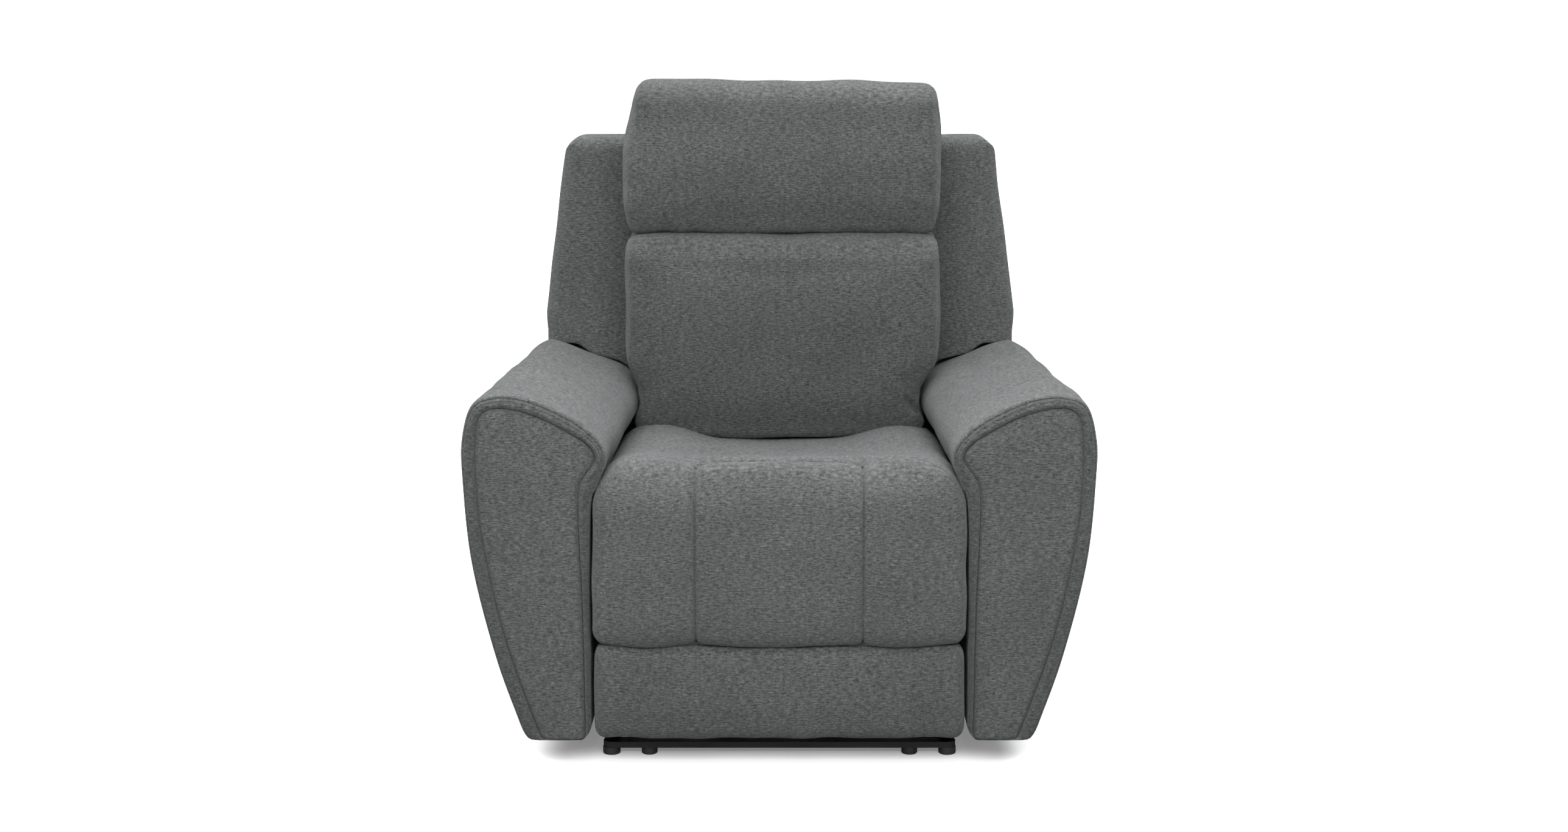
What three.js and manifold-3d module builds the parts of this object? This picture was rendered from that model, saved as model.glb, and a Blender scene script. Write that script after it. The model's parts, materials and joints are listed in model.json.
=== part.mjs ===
// Recliner armchair. Millimetres, +Z up. The chair faces -Y, and left (-X) is the viewer's left.
// Pieces are drawn from the plane of the arm fronts (y = 0) and the floor (z = 0). The last group moves
// the whole chair so that its origin is the centre of its footprint.
import * as THREE from 'three';
import { mergeVertices } from 'three/addons/utils/BufferGeometryUtils.js';
import Module from 'manifold-3d';

const wasm = await Module();
wasm.setup();

// ---------------------------------------------------------------- driving dimensions

const seatWidth = 600;            // between the inner faces of the arms
const armWidth = 202;
const armTop = 604;
const armBottom = 44;
const armDepth = 735;
const seatHeight = 490;           // crest at the front edge
const seatDrop = 44;              // the seat's rear is this much lower
const seatRearY = armDepth - 135;
const backWidth = 870;            // across the wings at their widest
const backTop = 970;
const backReach = armDepth + 183; // rearmost point of the back, behind the arm fronts
const headTop = 1079;
const padReach = 22;              // how far the footrest pad stands in front of the arms

const gap = 0.3;                  // between pieces that touch
const sideGap = 4;                // between a cushion and the arm beside it
const pinRadius = 5;
const pinClearance = 0.5;
const plateThickness = 4;
const roundSides = 20;

// base
const glideHeight = 12.6;
const glideRadiusOuter = 14.25;
const glideRadiusInner = 13;
const railX = 274.7;              // centre line of the base rails
const innerGlideX = 212.8;
const baseBarDepth = 28;
const baseBarHeight = 10;
const baseBarHalfLength = 288;
const baseFrontY = 62;            // front edge of the front bar
const baseRearY = armDepth - 21;  // rear edge of the rear bar
const railWidth = 25;
const railHeight = 30;
const railWall = 2.5;
const middleBarY = 400;

// seat frame
const seatRailBottom = 330;
const seatRailTop = 400;
const seatRailThickness = 22;
const seatFrontRailY = 84;
const sideRailY = 95;
const cushionBottom = 405;
const cushionFrontY = 78;
const springWire = 3.5;
const springX = 130;
const springSwing = 25;
const springWaves = 8;

// mechanism: pivots as [y, z]
const plateInnerX = 257.3;
const legrestPivot = [55, 420];
const drivePivot = [240, 320];
const backPivot = [armDepth - 95, 300];
const lowerLinkRun = [25, -200];  // from the drive pivot to the knee, and from the legrest pivot to its pin
const linkWidth = 22;
const lowerLinkX = 249.3;
const upperLinkX = 241.3;
const driveTubeRadius = 12.5;
const backTubeRadius = 14;

// slides: each lever swings evenly either side of straight down
const legrestLever = 45;
const legrestTravelDeg = 85;
const reclineLever = 80;
const reclineTravelDeg = 38;
const leverPinRadius = 4;
const leverThickness = 8;
const forkClearance = 1.5;
const legrestDriveX = -90;
const reclineDriveX = 90;
const legrestRail = [150, 470];   // front and rear ends of the slide rail
const reclineRail = [armDepth - 355, armDepth - 43];

// legrest
const boardFrontY = 47.5;
const boardThickness = 15;
const boardBottom = 75;
const boardTop = 405;
const boardHalfWidth = 275;
const padSplit = 204;             // seam between the chaise pad and the footrest pad
const padSeamGap = 2;
const padBottom = 52;
const chaiseTop = 404;
const chaiseShoulder = 362;       // above this the pad is narrower, to pass the arm rolls
const shoulderWidth = 536;

// back
const backLean = 0.25;            // the front face moves this far back per unit of height
const backFrontPoint = [armDepth - 55, 612];   // a point on its leaning front face, as [y, z]
const wingLevel = armTop + 8;     // lowest point of the wings' front edge
const wingFootLevel = 350;        // lowest point of the wings, behind the arms
const wingBehindArms = 7;         // clear space between the arms' rear ends and the wings
// The underside of the wings, in strips from the middle outwards: where each strip ends, and how far
// its swing radius about the back pivot falls short of the arm's top. Each just clears the arm roll.
const wingStrips = [[292, 27], [350, 14], [backWidth / 2, -4]];
const wingTopInset = 39;
const rearBottomY = armDepth;
const rearPanelThickness = 5;
const rearPanelBottom = 262;
const lowerBackHalfWidth = 238;
const lowerBackBottom = 335;
const postInnerX = 190;
const postOuterX = 235;
const postThickness = 28;
const postLean = 0.2;
const postBottom = 320;
const postTop = 880;
const postOffset = 15;            // post centre behind the back pivot, at the pivot's height
const bracketTop = 470;
const bracketHalfWidth = 16;
const backRailHeight = 45;
const backRailThickness = 20;
const middleRailZ = 640;
const lumbarFrontY = armDepth - 247;
const lumbarBottom = seatHeight - seatDrop + 6;
const lumbarTop = 804;
const lumbarHalfWidth = 277;
const betweenArmsHalfWidth = 245;
const headHalfWidth = 280;
const headFrontY = armDepth - 189;

// arm furniture
const armFrameThickness = 18;
const armFrameInset = 40;         // from the arm's inner face
const panelDepth = 8;
const armSteps = 30;              // points along the arm's outline, and along the panel's
const panelSteps = 28;
const armRollIn = 20;             // the roll leans in towards the seat by this much at the rear
const armRollOut = 40;            // and its outer edge comes in by this much
const bezelLength = 82;
const bezelHeight = 44;
const bezelDepth = 12;
const bezelY = 180;
const bezelZ = armTop - 126;
const buttonLength = 22;
const buttonHeight = 20;
const buttonGap = 0.6;
const buttonTravel = 2;

// rear
const skirtBehindBar = 4;
const skirtThickness = 10;
const skirtBottom = 60;
const skirtTop = 225;
const inletX = -150;
const inletWidth = 26;
const inletHeight = 22;
const inletLength = 30;
const socketSize = 11;
const socketDepth = 16;

// ---------------------------------------------------------------- values that follow

const armInner = seatWidth / 2;
const armOuter = armInner + armWidth;
const plateOuterX = plateInnerX + plateThickness;
const padHalfWidth = armInner - 2;
const cushionHalfWidth = armInner - sideGap;
const kneePivot = add(drivePivot, lowerLinkRun);
const legrestPin = add(legrestPivot, lowerLinkRun);
const originY = (backReach - padReach) / 2;

// ---------------------------------------------------------------- materials

const fabric = () => surface(0x8b8e8c, 0.95, 0);
const plywood = () => surface(0xb58f5f, 0.8, 0);
const blackSteel = () => surface(0x1b1c1e, 0.5, 0.4);
const zincSteel = () => surface(0x9a9da0, 0.4, 0.8);
const blackPlastic = () => surface(0x202123, 0.6, 0);

function surface(color, roughness, metalness) {
  return new THREE.MeshStandardMaterial({ color, roughness, metalness, flatShading: true });
}

// ---------------------------------------------------------------- shape helpers

function add(a, b) {
  return [a[0] + b[0], a[1] + b[1]];
}

function smooth(value, low, high) {
  return THREE.MathUtils.smoothstep(value, low, high);
}

function closedShape(points) {
  return new THREE.Shape(points.map(([a, b]) => new THREE.Vector2(a, b)));
}

function rectangle(a0, b0, a1, b1) {
  return closedShape([[a0, b0], [a1, b0], [a1, b1], [a0, b1]]);
}

function extrude(shape, depth, options = {}) {
  return new THREE.ExtrudeGeometry(shape, { depth, bevelEnabled: false, curveSegments: 8, ...options });
}

// A profile in (y, z), from x0 to x1.
function sideSlab(shape, x0, x1) {
  const turn = new THREE.Matrix4().makeBasis(
    new THREE.Vector3(0, 1, 0), new THREE.Vector3(0, 0, 1), new THREE.Vector3(1, 0, 0));
  const low = Math.min(x0, x1);
  return extrude(shape, Math.abs(x1 - x0)).applyMatrix4(turn).translate(low, 0, 0);
}

// An outline in (x, z), from y0 back to y1.
function frontSlab(shape, y0, y1, options = {}) {
  return extrude(shape, y1 - y0, options).rotateX(Math.PI / 2).translate(0, y1, 0);
}

// An outline in (x, y), from z0 up to z1.
function planSlab(shape, z0, z1) {
  return extrude(shape, z1 - z0).translate(0, 0, z0);
}

function box(x0, x1, y0, y1, z0, z1) {
  const low = Math.min(x0, x1);
  const high = Math.max(x0, x1);
  return new THREE.BoxGeometry(high - low, y1 - y0, z1 - z0)
    .translate((low + high) / 2, (y0 + y1) / 2, (z0 + z1) / 2);
}

// A round bar along X through [y, z].
function crossBar([y, z], radius, x0, x1) {
  return new THREE.CylinderGeometry(radius, radius, Math.abs(x1 - x0), roundSides)
    .rotateZ(Math.PI / 2).translate((x0 + x1) / 2, y, z);
}

function solid(geometry) {
  const bare = geometry.clone();
  bare.deleteAttribute('normal');
  bare.deleteAttribute('uv');
  const merged = mergeVertices(bare, 1e-4);
  return new wasm.Manifold(new wasm.Mesh({
    numProp: 3,
    vertProperties: new Float32Array(merged.attributes.position.array),
    triVerts: new Uint32Array(merged.index.array),
  }));
}

function geometryOf(manifold) {
  const mesh = manifold.getMesh();
  const geometry = new THREE.BufferGeometry();
  geometry.setAttribute('position', new THREE.BufferAttribute(new Float32Array(mesh.vertProperties), 3));
  geometry.setIndex(new THREE.BufferAttribute(new Uint32Array(mesh.triVerts), 1));
  geometry.computeVertexNormals();
  return geometry;
}

function join(first, ...others) {
  return geometryOf(others.reduce((sum, item) => sum.add(solid(item)), solid(first)));
}

function cut(first, ...others) {
  return geometryOf(others.reduce((rest, item) => rest.subtract(solid(item)), solid(first)));
}

function common(first, second) {
  return geometryOf(solid(first).intersect(solid(second)));
}

const chair = new THREE.Group();

function place(name, geometry, material) {
  const mesh = new THREE.Mesh(geometry, material);
  mesh.name = name;
  chair.add(mesh);
  return mesh;
}

const sides = [['left', -1], ['right', 1]];

// ---------------------------------------------------------------- base

function baseBar(frontY) {
  const end = baseBarDepth / 2;
  const straight = baseBarHalfLength - end;
  const shape = new THREE.Shape();
  shape.moveTo(-straight, frontY);
  shape.lineTo(straight, frontY);
  shape.absarc(straight, frontY + end, end, -Math.PI / 2, Math.PI / 2, false);
  shape.lineTo(-straight, frontY + baseBarDepth);
  shape.absarc(-straight, frontY + end, end, Math.PI / 2, 3 * Math.PI / 2, false);
  return planSlab(shape, glideHeight, glideHeight + baseBarHeight);
}

function baseRail(side) {
  const x = side * railX;
  const low = glideHeight;
  const shape = rectangle(x - railWidth / 2, low, x + railWidth / 2, low + railHeight);
  const bore = rectangle(x - railWidth / 2 + railWall, low + railWall,
    x + railWidth / 2 - railWall, low + railHeight - railWall);
  shape.holes.push(bore);
  return frontSlab(shape, baseFrontY + baseBarDepth + gap, baseRearY - baseBarDepth - gap);
}

function glide(radius, x, y) {
  const chamfer = 1.5;
  const top = glideHeight - gap;
  const profile = [[0, 0], [radius - chamfer, 0], [radius, chamfer], [radius, top], [0, top]];
  const points = profile.map(([r, z]) => new THREE.Vector2(r, z));
  return new THREE.LatheGeometry(points, roundSides).rotateX(Math.PI / 2).translate(x, y, 0);
}

function buildBase() {
  const frontGlideY = baseFrontY + baseBarDepth / 2;
  const rearGlideY = baseRearY - baseBarDepth / 2;
  const middleReach = railX - railWidth / 2 - gap;
  place('base_front_bar', baseBar(baseFrontY), blackSteel());
  place('base_rear_bar', baseBar(baseRearY - baseBarDepth), blackSteel());
  place('base_middle_bar', box(-middleReach + plateThickness + 1, middleReach - plateThickness - 1,
    middleBarY, middleBarY + baseBarDepth, glideHeight, glideHeight + railHeight), blackSteel());
  for (const [name, side] of sides) {
    place(`base_rail_${name}`, baseRail(side), blackSteel());
    place(`glide_front_outer_${name}`, glide(glideRadiusOuter, side * railX, frontGlideY),
      blackPlastic());
    place(`glide_front_inner_${name}`, glide(glideRadiusInner, side * innerGlideX, frontGlideY),
      blackPlastic());
    place(`glide_rear_${name}`, glide(glideRadiusOuter, side * railX, rearGlideY), blackPlastic());
  }
}

// ---------------------------------------------------------------- side plates and seat frame

function sidePlate(side) {
  const inner = side * plateInnerX;
  const outer = side * plateOuterX;
  const [hy, hz] = legrestPivot;
  const [by, bz] = backPivot;
  const [dy] = drivePivot;
  const boardRear = boardFrontY + boardThickness + 1.5;
  const underCushion = cushionBottom - 2;
  const outline = closedShape([
    [hy - 5, hz - 10.6], [boardRear, hz - 12], [boardRear, underCushion - 42], [108, 318],
    [134, 236], [205, 236], [dy - 8, 200], [dy - 8, glideHeight + 4], [by - 40, glideHeight + 4],
    [by - 40, 120], [by - 15, bz - 20], [by + 15, bz + 20], [by - 55, underCushion],
    [cushionFrontY - 1, underCushion], [cushionFrontY - 1, hz - 5], [hy + 3, hz + 11.6],
  ]);
  const body = join(sideSlab(outline, inner, outer), crossBar(legrestPivot, 12, inner, outer),
    crossBar(backPivot, 26, inner, outer), crossBar(legrestPivot, pinRadius, inner - side * 7, outer));
  const reach = side * 20;
  return cut(body, crossBar(drivePivot, driveTubeRadius + pinClearance, inner - reach, outer + reach),
    crossBar(backPivot, backTubeRadius + pinClearance, inner - reach, outer + reach));
}

function seatSpring(x) {
  const radius = springWire / 2;
  const y0 = seatFrontRailY + 6;
  const y1 = seatRearY - 10;
  const z = seatRailTop + radius + gap;
  const stepsPerWave = 4;
  const points = [];
  for (let i = 0; i <= springWaves * stepsPerWave; i += 1) {
    const t = i / (springWaves * stepsPerWave);
    const swing = springSwing * Math.sin(2 * Math.PI * springWaves * t);
    points.push(new THREE.Vector3(x + swing, y0 + (y1 - y0) * t, z));
  }
  const wire = new THREE.Shape();
  wire.absarc(0, 0, radius, 0, 2 * Math.PI, false);
  const path = new THREE.CatmullRomCurve3(points);
  return new THREE.ExtrudeGeometry(wire, { extrudePath: path, steps: points.length - 1, curveSegments: 3 });
}

function buildSeatFrame() {
  const cross = plateInnerX - gap;
  const rearY = seatRearY - 3;
  place('seat_front_rail', box(-cross, cross, seatFrontRailY, seatFrontRailY + seatRailThickness,
    seatRailBottom, seatRailTop), plywood());
  place('seat_rear_rail', box(-cross, cross, rearY - seatRailThickness, rearY,
    seatRailBottom, seatRailTop), plywood());
  for (const [name, side] of sides) {
    place(`side_plate_${name}`, sidePlate(side), zincSteel());
    place(`seat_side_rail_${name}`, box(side * (plateOuterX + 0.7), side * (armInner - gap - 0.1),
      sideRailY, seatRearY, seatRailBottom, seatRailTop), plywood());
    place(`seat_spring_${name}`, seatSpring(side * springX), zincSteel());
  }
  place('seat_spring_middle', seatSpring(0), zincSteel());
}

// ---------------------------------------------------------------- seat cushion

function seatCushion() {
  const rearTop = seatHeight - seatDrop;
  const profile = closedShape([
    [cushionFrontY, cushionBottom], [seatRearY, cushionBottom], [seatRearY, rearTop - 6],
    [520, rearTop], [300, seatHeight - 30], [150, seatHeight - 12], [100, seatHeight - 1],
    [cushionFrontY, seatHeight],
  ]);
  const half = cushionHalfWidth;
  const steps = [[half, cushionBottom], [half, 415], [half - 26, 430], [half - 51, 446],
    [half - 56, 470], [half - 61, seatHeight + 1]];
  const outline = closedShape([...steps, ...steps.map(([x, z]) => [-x, z]).reverse()]);
  return common(sideSlab(profile, -half, half), frontSlab(outline, 0, seatRearY + 10));
}

// ---------------------------------------------------------------- arms

// A point of the arm's front outline: u runs from the inner face (0) to the outermost point (1), and v
// from the bottom (0) to the top (1).
function armPoint(side, [u, v]) {
  return [side * (armInner + u * armWidth), armBottom + v * (armTop - armBottom)];
}

function armShape(side, curve, base, count) {
  const points = curve.map((point) => new THREE.Vector2(...armPoint(side, point)));
  const smoothPoints = new THREE.SplineCurve(points).getPoints(count);
  return closedShape([
    ...smoothPoints.map((point) => [point.x, point.y]),
    ...base.map((point) => armPoint(side, point)),
  ]);
}

// From the foot of the outer flank, over the roll, to the foot of the inner flank.
const armCurve = [
  [0.564, 0.030], [0.762, 0.246], [0.936, 0.523], [0.994, 0.777], [0.988, 0.880], [0.911, 0.973],
  [0.738, 1.0], [0.5, 0.995], [0.243, 0.959], [0.035, 0.914], [-0.114, 0.854], [-0.129, 0.802],
  [-0.059, 0.736], [0, 0.632],
];
const armFoot = [[0.01, 0.03], [0.06, 0], [0.5, 0]];

const panelCurve = [
  [0.401, 0.004], [0.495, 0.098], [0.629, 0.241], [0.738, 0.391], [0.851, 0.614], [0.881, 0.784],
  [0.861, 0.916], [0.787, 0.954], [0.653, 0.961], [0.401, 0.936], [0.168, 0.893], [0.005, 0.854],
  [-0.04, 0.813], [0.04, 0.775], [0.094, 0.725], [0.089, 0.579],
];
const panelFoot = [[0.069, 0.396], [0.059, 0.004]];

// The roll narrows and leans in towards the rear, and its rear end is rounded down under the wings.
function shapeArm(geometry, side) {
  const position = geometry.attributes.position;
  for (let i = 0; i < position.count; i += 1) {
    const y = position.getY(i);
    const t = smooth(y, 0, armDepth * 0.8);
    const x = side * position.getX(i);
    const z = position.getZ(i);
    const high = smooth(z, armTop - 120, armTop);
    const overSeat = smooth(z, armTop - 180, armTop - 110) * (1 - smooth(x, armInner - 10, armInner + 60));
    const inward = armRollOut * t * high * smooth(x, armInner + armWidth / 2, armOuter - 20)
      + armRollIn * t * overSeat;
    const drop = 18 * smooth(y, armDepth - 90, armDepth) * smooth(z, armTop - 60, armTop);
    position.setXYZ(i, side * (x - inward), y, z - drop);
  }
  return geometry;
}

function armCover(side) {
  const edge = 8;
  const steps = 6;
  const body = frontSlab(armShape(side, armCurve, armFoot, armSteps), edge, armDepth - edge, {
    steps, bevelEnabled: true, bevelThickness: edge, bevelSize: edge, bevelOffset: -edge, bevelSegments: 1,
  });
  const frame = armInner + armFrameInset;
  const cavity = box(side * (frame - 2 * gap), side * (frame + armFrameThickness + 2 * gap),
    28, armDepth - 33, armBottom - 10, armTop - 42);
  const pocket = frontSlab(armShape(side, panelCurve, panelFoot, panelSteps), -1, panelDepth + gap, {
    bevelEnabled: true, bevelThickness: 0, bevelSize: 0, bevelOffset: 2 * gap, bevelSegments: 0,
  });
  const cuts = [cavity, pocket];
  if (side < 0) {
    cuts.push(box(-armOuter - 10, -armOuter + bezelDepth, bezelY, bezelY + bezelLength,
      bezelZ, bezelZ + bezelHeight));
  }
  return cut(shapeArm(body, side), ...cuts);
}

function controlBezel() {
  const inner = -armOuter + bezelDepth - gap;
  const outer = -armOuter + 1;
  const body = box(outer, inner, bezelY + gap, bezelY + bezelLength - gap,
    bezelZ + gap, bezelZ + bezelHeight - gap);
  const holes = buttonPlaces().map((y) => box(outer - 5, inner + 5, y - buttonGap,
    y + buttonLength + buttonGap, buttonZ() - buttonGap, buttonZ() + buttonHeight + buttonGap));
  return cut(body, ...holes);
}

function buttonPlaces() {
  const spare = (bezelLength - 2 * buttonLength) / 3;
  return [bezelY + spare, bezelY + 2 * spare + buttonLength];
}

function buttonZ() {
  return bezelZ + (bezelHeight - buttonHeight) / 2;
}

function button(y) {
  return box(-armOuter + 0.4, -armOuter + bezelDepth - buttonTravel - 1, y, y + buttonLength,
    buttonZ(), buttonZ() + buttonHeight);
}

function buildArms() {
  for (const [name, side] of sides) {
    place(`arm_cover_${name}`, armCover(side), fabric());
    place(`arm_front_panel_${name}`,
      frontSlab(armShape(side, panelCurve, panelFoot, panelSteps), 0.5, panelDepth), fabric());
    const inner = side * (armInner + armFrameInset);
    place(`arm_frame_${name}`, box(inner, inner + side * armFrameThickness, 30, armDepth - 35,
      armBottom + 2, armTop - 44), plywood());
  }
  place('control_bezel', controlBezel(), blackPlastic());
  buttonPlaces().forEach((y, i) => {
    place(['button_open', 'button_close'][i], button(y), blackPlastic());
  });
}

// ---------------------------------------------------------------- legrest

function legrestBracket(side) {
  const rear = boardFrontY + boardThickness + gap;
  const [py, pz] = legrestPin;
  const tabX = side * (upperLinkX - 2.5 - 3.5);
  const tab = tabX + side * 3.5;
  return join(
    box(tabX, side * (plateInnerX - 8), rear, rear + 3, pz - 40, pz + 40),
    box(tabX, tab, rear, py, pz - linkWidth / 2, pz + linkWidth / 2),
    crossBar(legrestPin, linkWidth / 2, tabX, tab),
    crossBar(legrestPin, pinRadius, tabX, side * (upperLinkX + plateThickness + 1.2)));
}

function hingeBracket(side) {
  const inner = side * (plateInnerX - 1.8 - plateThickness);
  const outer = side * (plateInnerX - 1.8);
  const rear = boardFrontY + boardThickness + gap;
  const [hy, hz] = legrestPivot;
  const strip = closedShape([
    [rear, hz - 75], [rear + 14, hz - 75], [rear + 14, hz - 18], [hy + 9, hz + 7],
    [hy - 8, hz + 7], [hy - 8, boardTop + 1], [rear, boardTop + 1],
  ]);
  const body = join(sideSlab(strip, inner, outer), crossBar(legrestPivot, 11, inner, outer));
  return cut(body, crossBar(legrestPivot, pinRadius + pinClearance, inner - side * 10, outer + side * 10));
}

function chaisePad() {
  const back = boardFrontY - gap;
  const front = -padReach + 2;
  const low = padSplit + padSeamGap;
  const profile = closedShape([
    [back, low], [back, chaiseTop], [front + 26, chaiseTop], [front + 8, chaiseTop - 12],
    [front, chaiseTop - 34], [front, low + 18], [front + 8, low],
  ]);
  const shoulder = shoulderWidth / 2;
  const corner = (side) => box(side * shoulder, side * (padHalfWidth + 10), front - 10, back + 10,
    chaiseShoulder, chaiseTop + 10);
  return cut(sideSlab(profile, -padHalfWidth, padHalfWidth), corner(-1), corner(1));
}

function footrestPad() {
  const back = boardFrontY - gap;
  const top = padSplit - padSeamGap;
  const profile = closedShape([
    [back, padBottom], [back, top], [-padReach + 9, top], [-padReach, top - 12],
    [-padReach, padBottom + 28], [-padReach + 12, padBottom + 6], [-padReach + 27, padBottom],
  ]);
  return sideSlab(profile, -padHalfWidth, padHalfWidth);
}

function buildLegrest() {
  place('legrest_board', box(-boardHalfWidth, boardHalfWidth, boardFrontY, boardFrontY + boardThickness,
    boardBottom, boardTop), plywood());
  place('chaise_pad', chaisePad(), fabric());
  place('footrest_pad', footrestPad(), fabric());
  for (const [name, side] of sides) {
    place(`legrest_bracket_${name}`, legrestBracket(side), zincSteel());
    place(`hinge_bracket_${name}`, hingeBracket(side), zincSteel());
  }
}

// ---------------------------------------------------------------- links and levers

// A flat bar with round ends, between two points [y, z].
function flatLink(from, to, inner, outer) {
  const angle = Math.atan2(to[1] - from[1], to[0] - from[0]);
  const half = linkWidth / 2;
  const shape = new THREE.Shape();
  shape.absarc(from[0], from[1], half, angle + Math.PI / 2, angle + 3 * Math.PI / 2, false);
  shape.absarc(to[0], to[1], half, angle - Math.PI / 2, angle + Math.PI / 2, false);
  return sideSlab(shape, inner, outer);
}

function lowerLink(side) {
  const inner = side * lowerLinkX;
  const outer = inner + side * plateThickness;
  const eye = crossBar(drivePivot, driveTubeRadius + 7, inner, outer);
  const body = join(flatLink(drivePivot, kneePivot, inner, outer), eye,
    crossBar(kneePivot, pinRadius, inner - side * 9, outer));
  return cut(body, crossBar(drivePivot, driveTubeRadius + gap, inner - side * 20, outer + side * 20));
}

function upperLink(side) {
  const inner = side * upperLinkX;
  const outer = inner + side * plateThickness;
  const hole = (pivot) => crossBar(pivot, pinRadius + pinClearance, inner - side * 10, outer + side * 10);
  return cut(flatLink(kneePivot, legrestPin, inner, outer), hole(kneePivot), hole(legrestPin));
}

// Where a lever's pin is at rest: half the travel behind straight down.
function leverPin(pivot, length, travelDeg) {
  const half = THREE.MathUtils.degToRad(travelDeg / 2);
  return [pivot[0] + length * Math.sin(half), pivot[1] - length * Math.cos(half)];
}

// A tube across the chair with one lever on it. The lever's pin stands out to the lever's +X side.
function leverTube(pivot, radius, halfLength, x, length, travelDeg) {
  const pin = leverPin(pivot, length, travelDeg);
  const half = leverThickness / 2;
  return join(crossBar(pivot, radius, -halfLength, halfLength),
    crossBar(pivot, radius + 6, x - half, x + half),
    flatLink(pivot, pin, x - half, x + half),
    crossBar(pin, leverPinRadius, x, x + half + 12));
}

// A block on the slide rail, with an upright fork that the lever's pin stands in.
function carriage(pivot, x, length, travelDeg) {
  const pin = leverPin(pivot, length, travelDeg);
  const lowest = pivot[1] - length;
  const fork = x + leverThickness / 2 + 4;
  const floor = lowest - leverPinRadius - 6;
  const slot = leverPinRadius + forkClearance;
  const block = box(x - 10, x + 25, pin[0] - 20, pin[0] + 20, floor - 26, floor - 6);
  const upright = box(fork, fork + 6, pin[0] - 14, pin[0] + 14, floor - 10, pin[1] + 12);
  return cut(join(block, upright), box(fork - 5, fork + 11, pin[0] - slot, pin[0] + slot,
    floor, pin[1] + 20));
}

// A slide rail with its gearbox and motor at one end, on a leg that stands on the base's middle bar.
function slideMotor(pivot, x, length, [railFrom, railTo], motorAtRear) {
  const top = pivot[1] - length - leverPinRadius - 6 - 26 - gap;
  const bottom = top - 24;
  const rail = box(x - 6, x + 21, railFrom, railTo, bottom, top);
  const gearboxY = motorAtRear ? railTo - 10 : railFrom - 60;
  const motorY = motorAtRear ? gearboxY + 100 : gearboxY - 30;
  const middle = (bottom + top) / 2;
  const gearbox = box(x - 20, x + 35, gearboxY, gearboxY + 70, bottom - 12, top + 18);
  const motor = new THREE.CylinderGeometry(24, 24, 80, roundSides).translate(x + 7.5, motorY, middle);
  const leg = box(x - 3, x + 18, middleBarY + 4, middleBarY + baseBarDepth - 4,
    glideHeight + railHeight + gap, middle);
  return join(rail, gearbox, motor, leg);
}

function buildMechanism() {
  place('drive_tube', leverTube(drivePivot, driveTubeRadius, plateOuterX, legrestDriveX,
    legrestLever, legrestTravelDeg), zincSteel());
  for (const [name, side] of sides) {
    place(`lower_link_${name}`, lowerLink(side), zincSteel());
    place(`upper_link_${name}`, upperLink(side), zincSteel());
  }
  place('legrest_carriage', carriage(drivePivot, legrestDriveX, legrestLever, legrestTravelDeg),
    blackPlastic());
  place('legrest_motor', slideMotor(drivePivot, legrestDriveX, legrestLever, legrestRail, true),
    blackPlastic());
  place('recline_carriage', carriage(backPivot, reclineDriveX, reclineLever, reclineTravelDeg),
    blackPlastic());
  place('recline_motor', slideMotor(backPivot, reclineDriveX, reclineLever, reclineRail, false),
    blackPlastic());
}

// ---------------------------------------------------------------- back

function backFrontY(z) {
  return backFrontPoint[0] + backLean * (z - backFrontPoint[1]);
}

// The rear face leans back in one plane, from the foot of the rear panel to the top corner.
const rearTopZ = backTop - 22;

function rearY(z) {
  return rearBottomY + (backReach - rearBottomY) * (z - rearPanelBottom) / (rearTopZ - rearPanelBottom);
}

function postY(z) {
  return backPivot[0] + postOffset + postLean * (z - backPivot[1]);
}

// A strip that leans with the posts, from z0 to z1, between two distances behind their centre plane.
function leaningStrip(z0, z1, front, rear) {
  return closedShape([
    [postY(z0) + front, z0], [postY(z0) + rear, z0], [postY(z1) + rear, z1], [postY(z1) + front, z1],
  ]);
}

// One strip of the wings, seen from the side.
function wingProfile(swingRadius) {
  const skin = rearPanelThickness + gap;
  const under = (y) => backPivot[1] + Math.sqrt(swingRadius ** 2 - (y - backPivot[0]) ** 2);
  const behindArms = armDepth + wingBehindArms;
  const front = backFrontY(under(backFrontY(wingLevel)));
  const steps = 4;
  const arc = [];
  for (let i = 0; i <= steps; i += 1) {
    const y = front + (behindArms - front) * i / steps;
    arc.push([y, under(y)]);
  }
  return closedShape([
    ...arc, [behindArms, wingFootLevel], [rearY(wingFootLevel) - skin, wingFootLevel],
    [rearY(rearTopZ) - skin, rearTopZ], [backReach - 24, backTop],
    [backFrontY(backTop) + 8, backTop], [backFrontY(backTop - 10), backTop - 10],
  ]);
}

function backWings() {
  const half = backWidth / 2;
  const outline = [[half - 40, wingFootLevel - 20], [half - 6, wingLevel - 6], [half, wingLevel + 20],
    [half - wingTopInset, backTop - 22], [half - wingTopInset - 8, backTop - 6],
    [half - wingTopInset - 24, backTop + 1]];
  const wingOutline = closedShape([...outline, ...outline.map(([x, z]) => [-x, z]).reverse()]);
  const armRise = armTop - backPivot[1];
  const strips = wingStrips.map(([outer, under]) => sideSlab(wingProfile(armRise - under), -outer, outer));
  // Every strip is as wide as the whole back between its two ends; the widest has the highest underside.
  const under = strips.slice(1).reduce((joined, strip) => join(joined, strip), strips[0]);
  return common(under, frontSlab(wingOutline, backFrontPoint[0] - 120, backReach));
}

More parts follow.
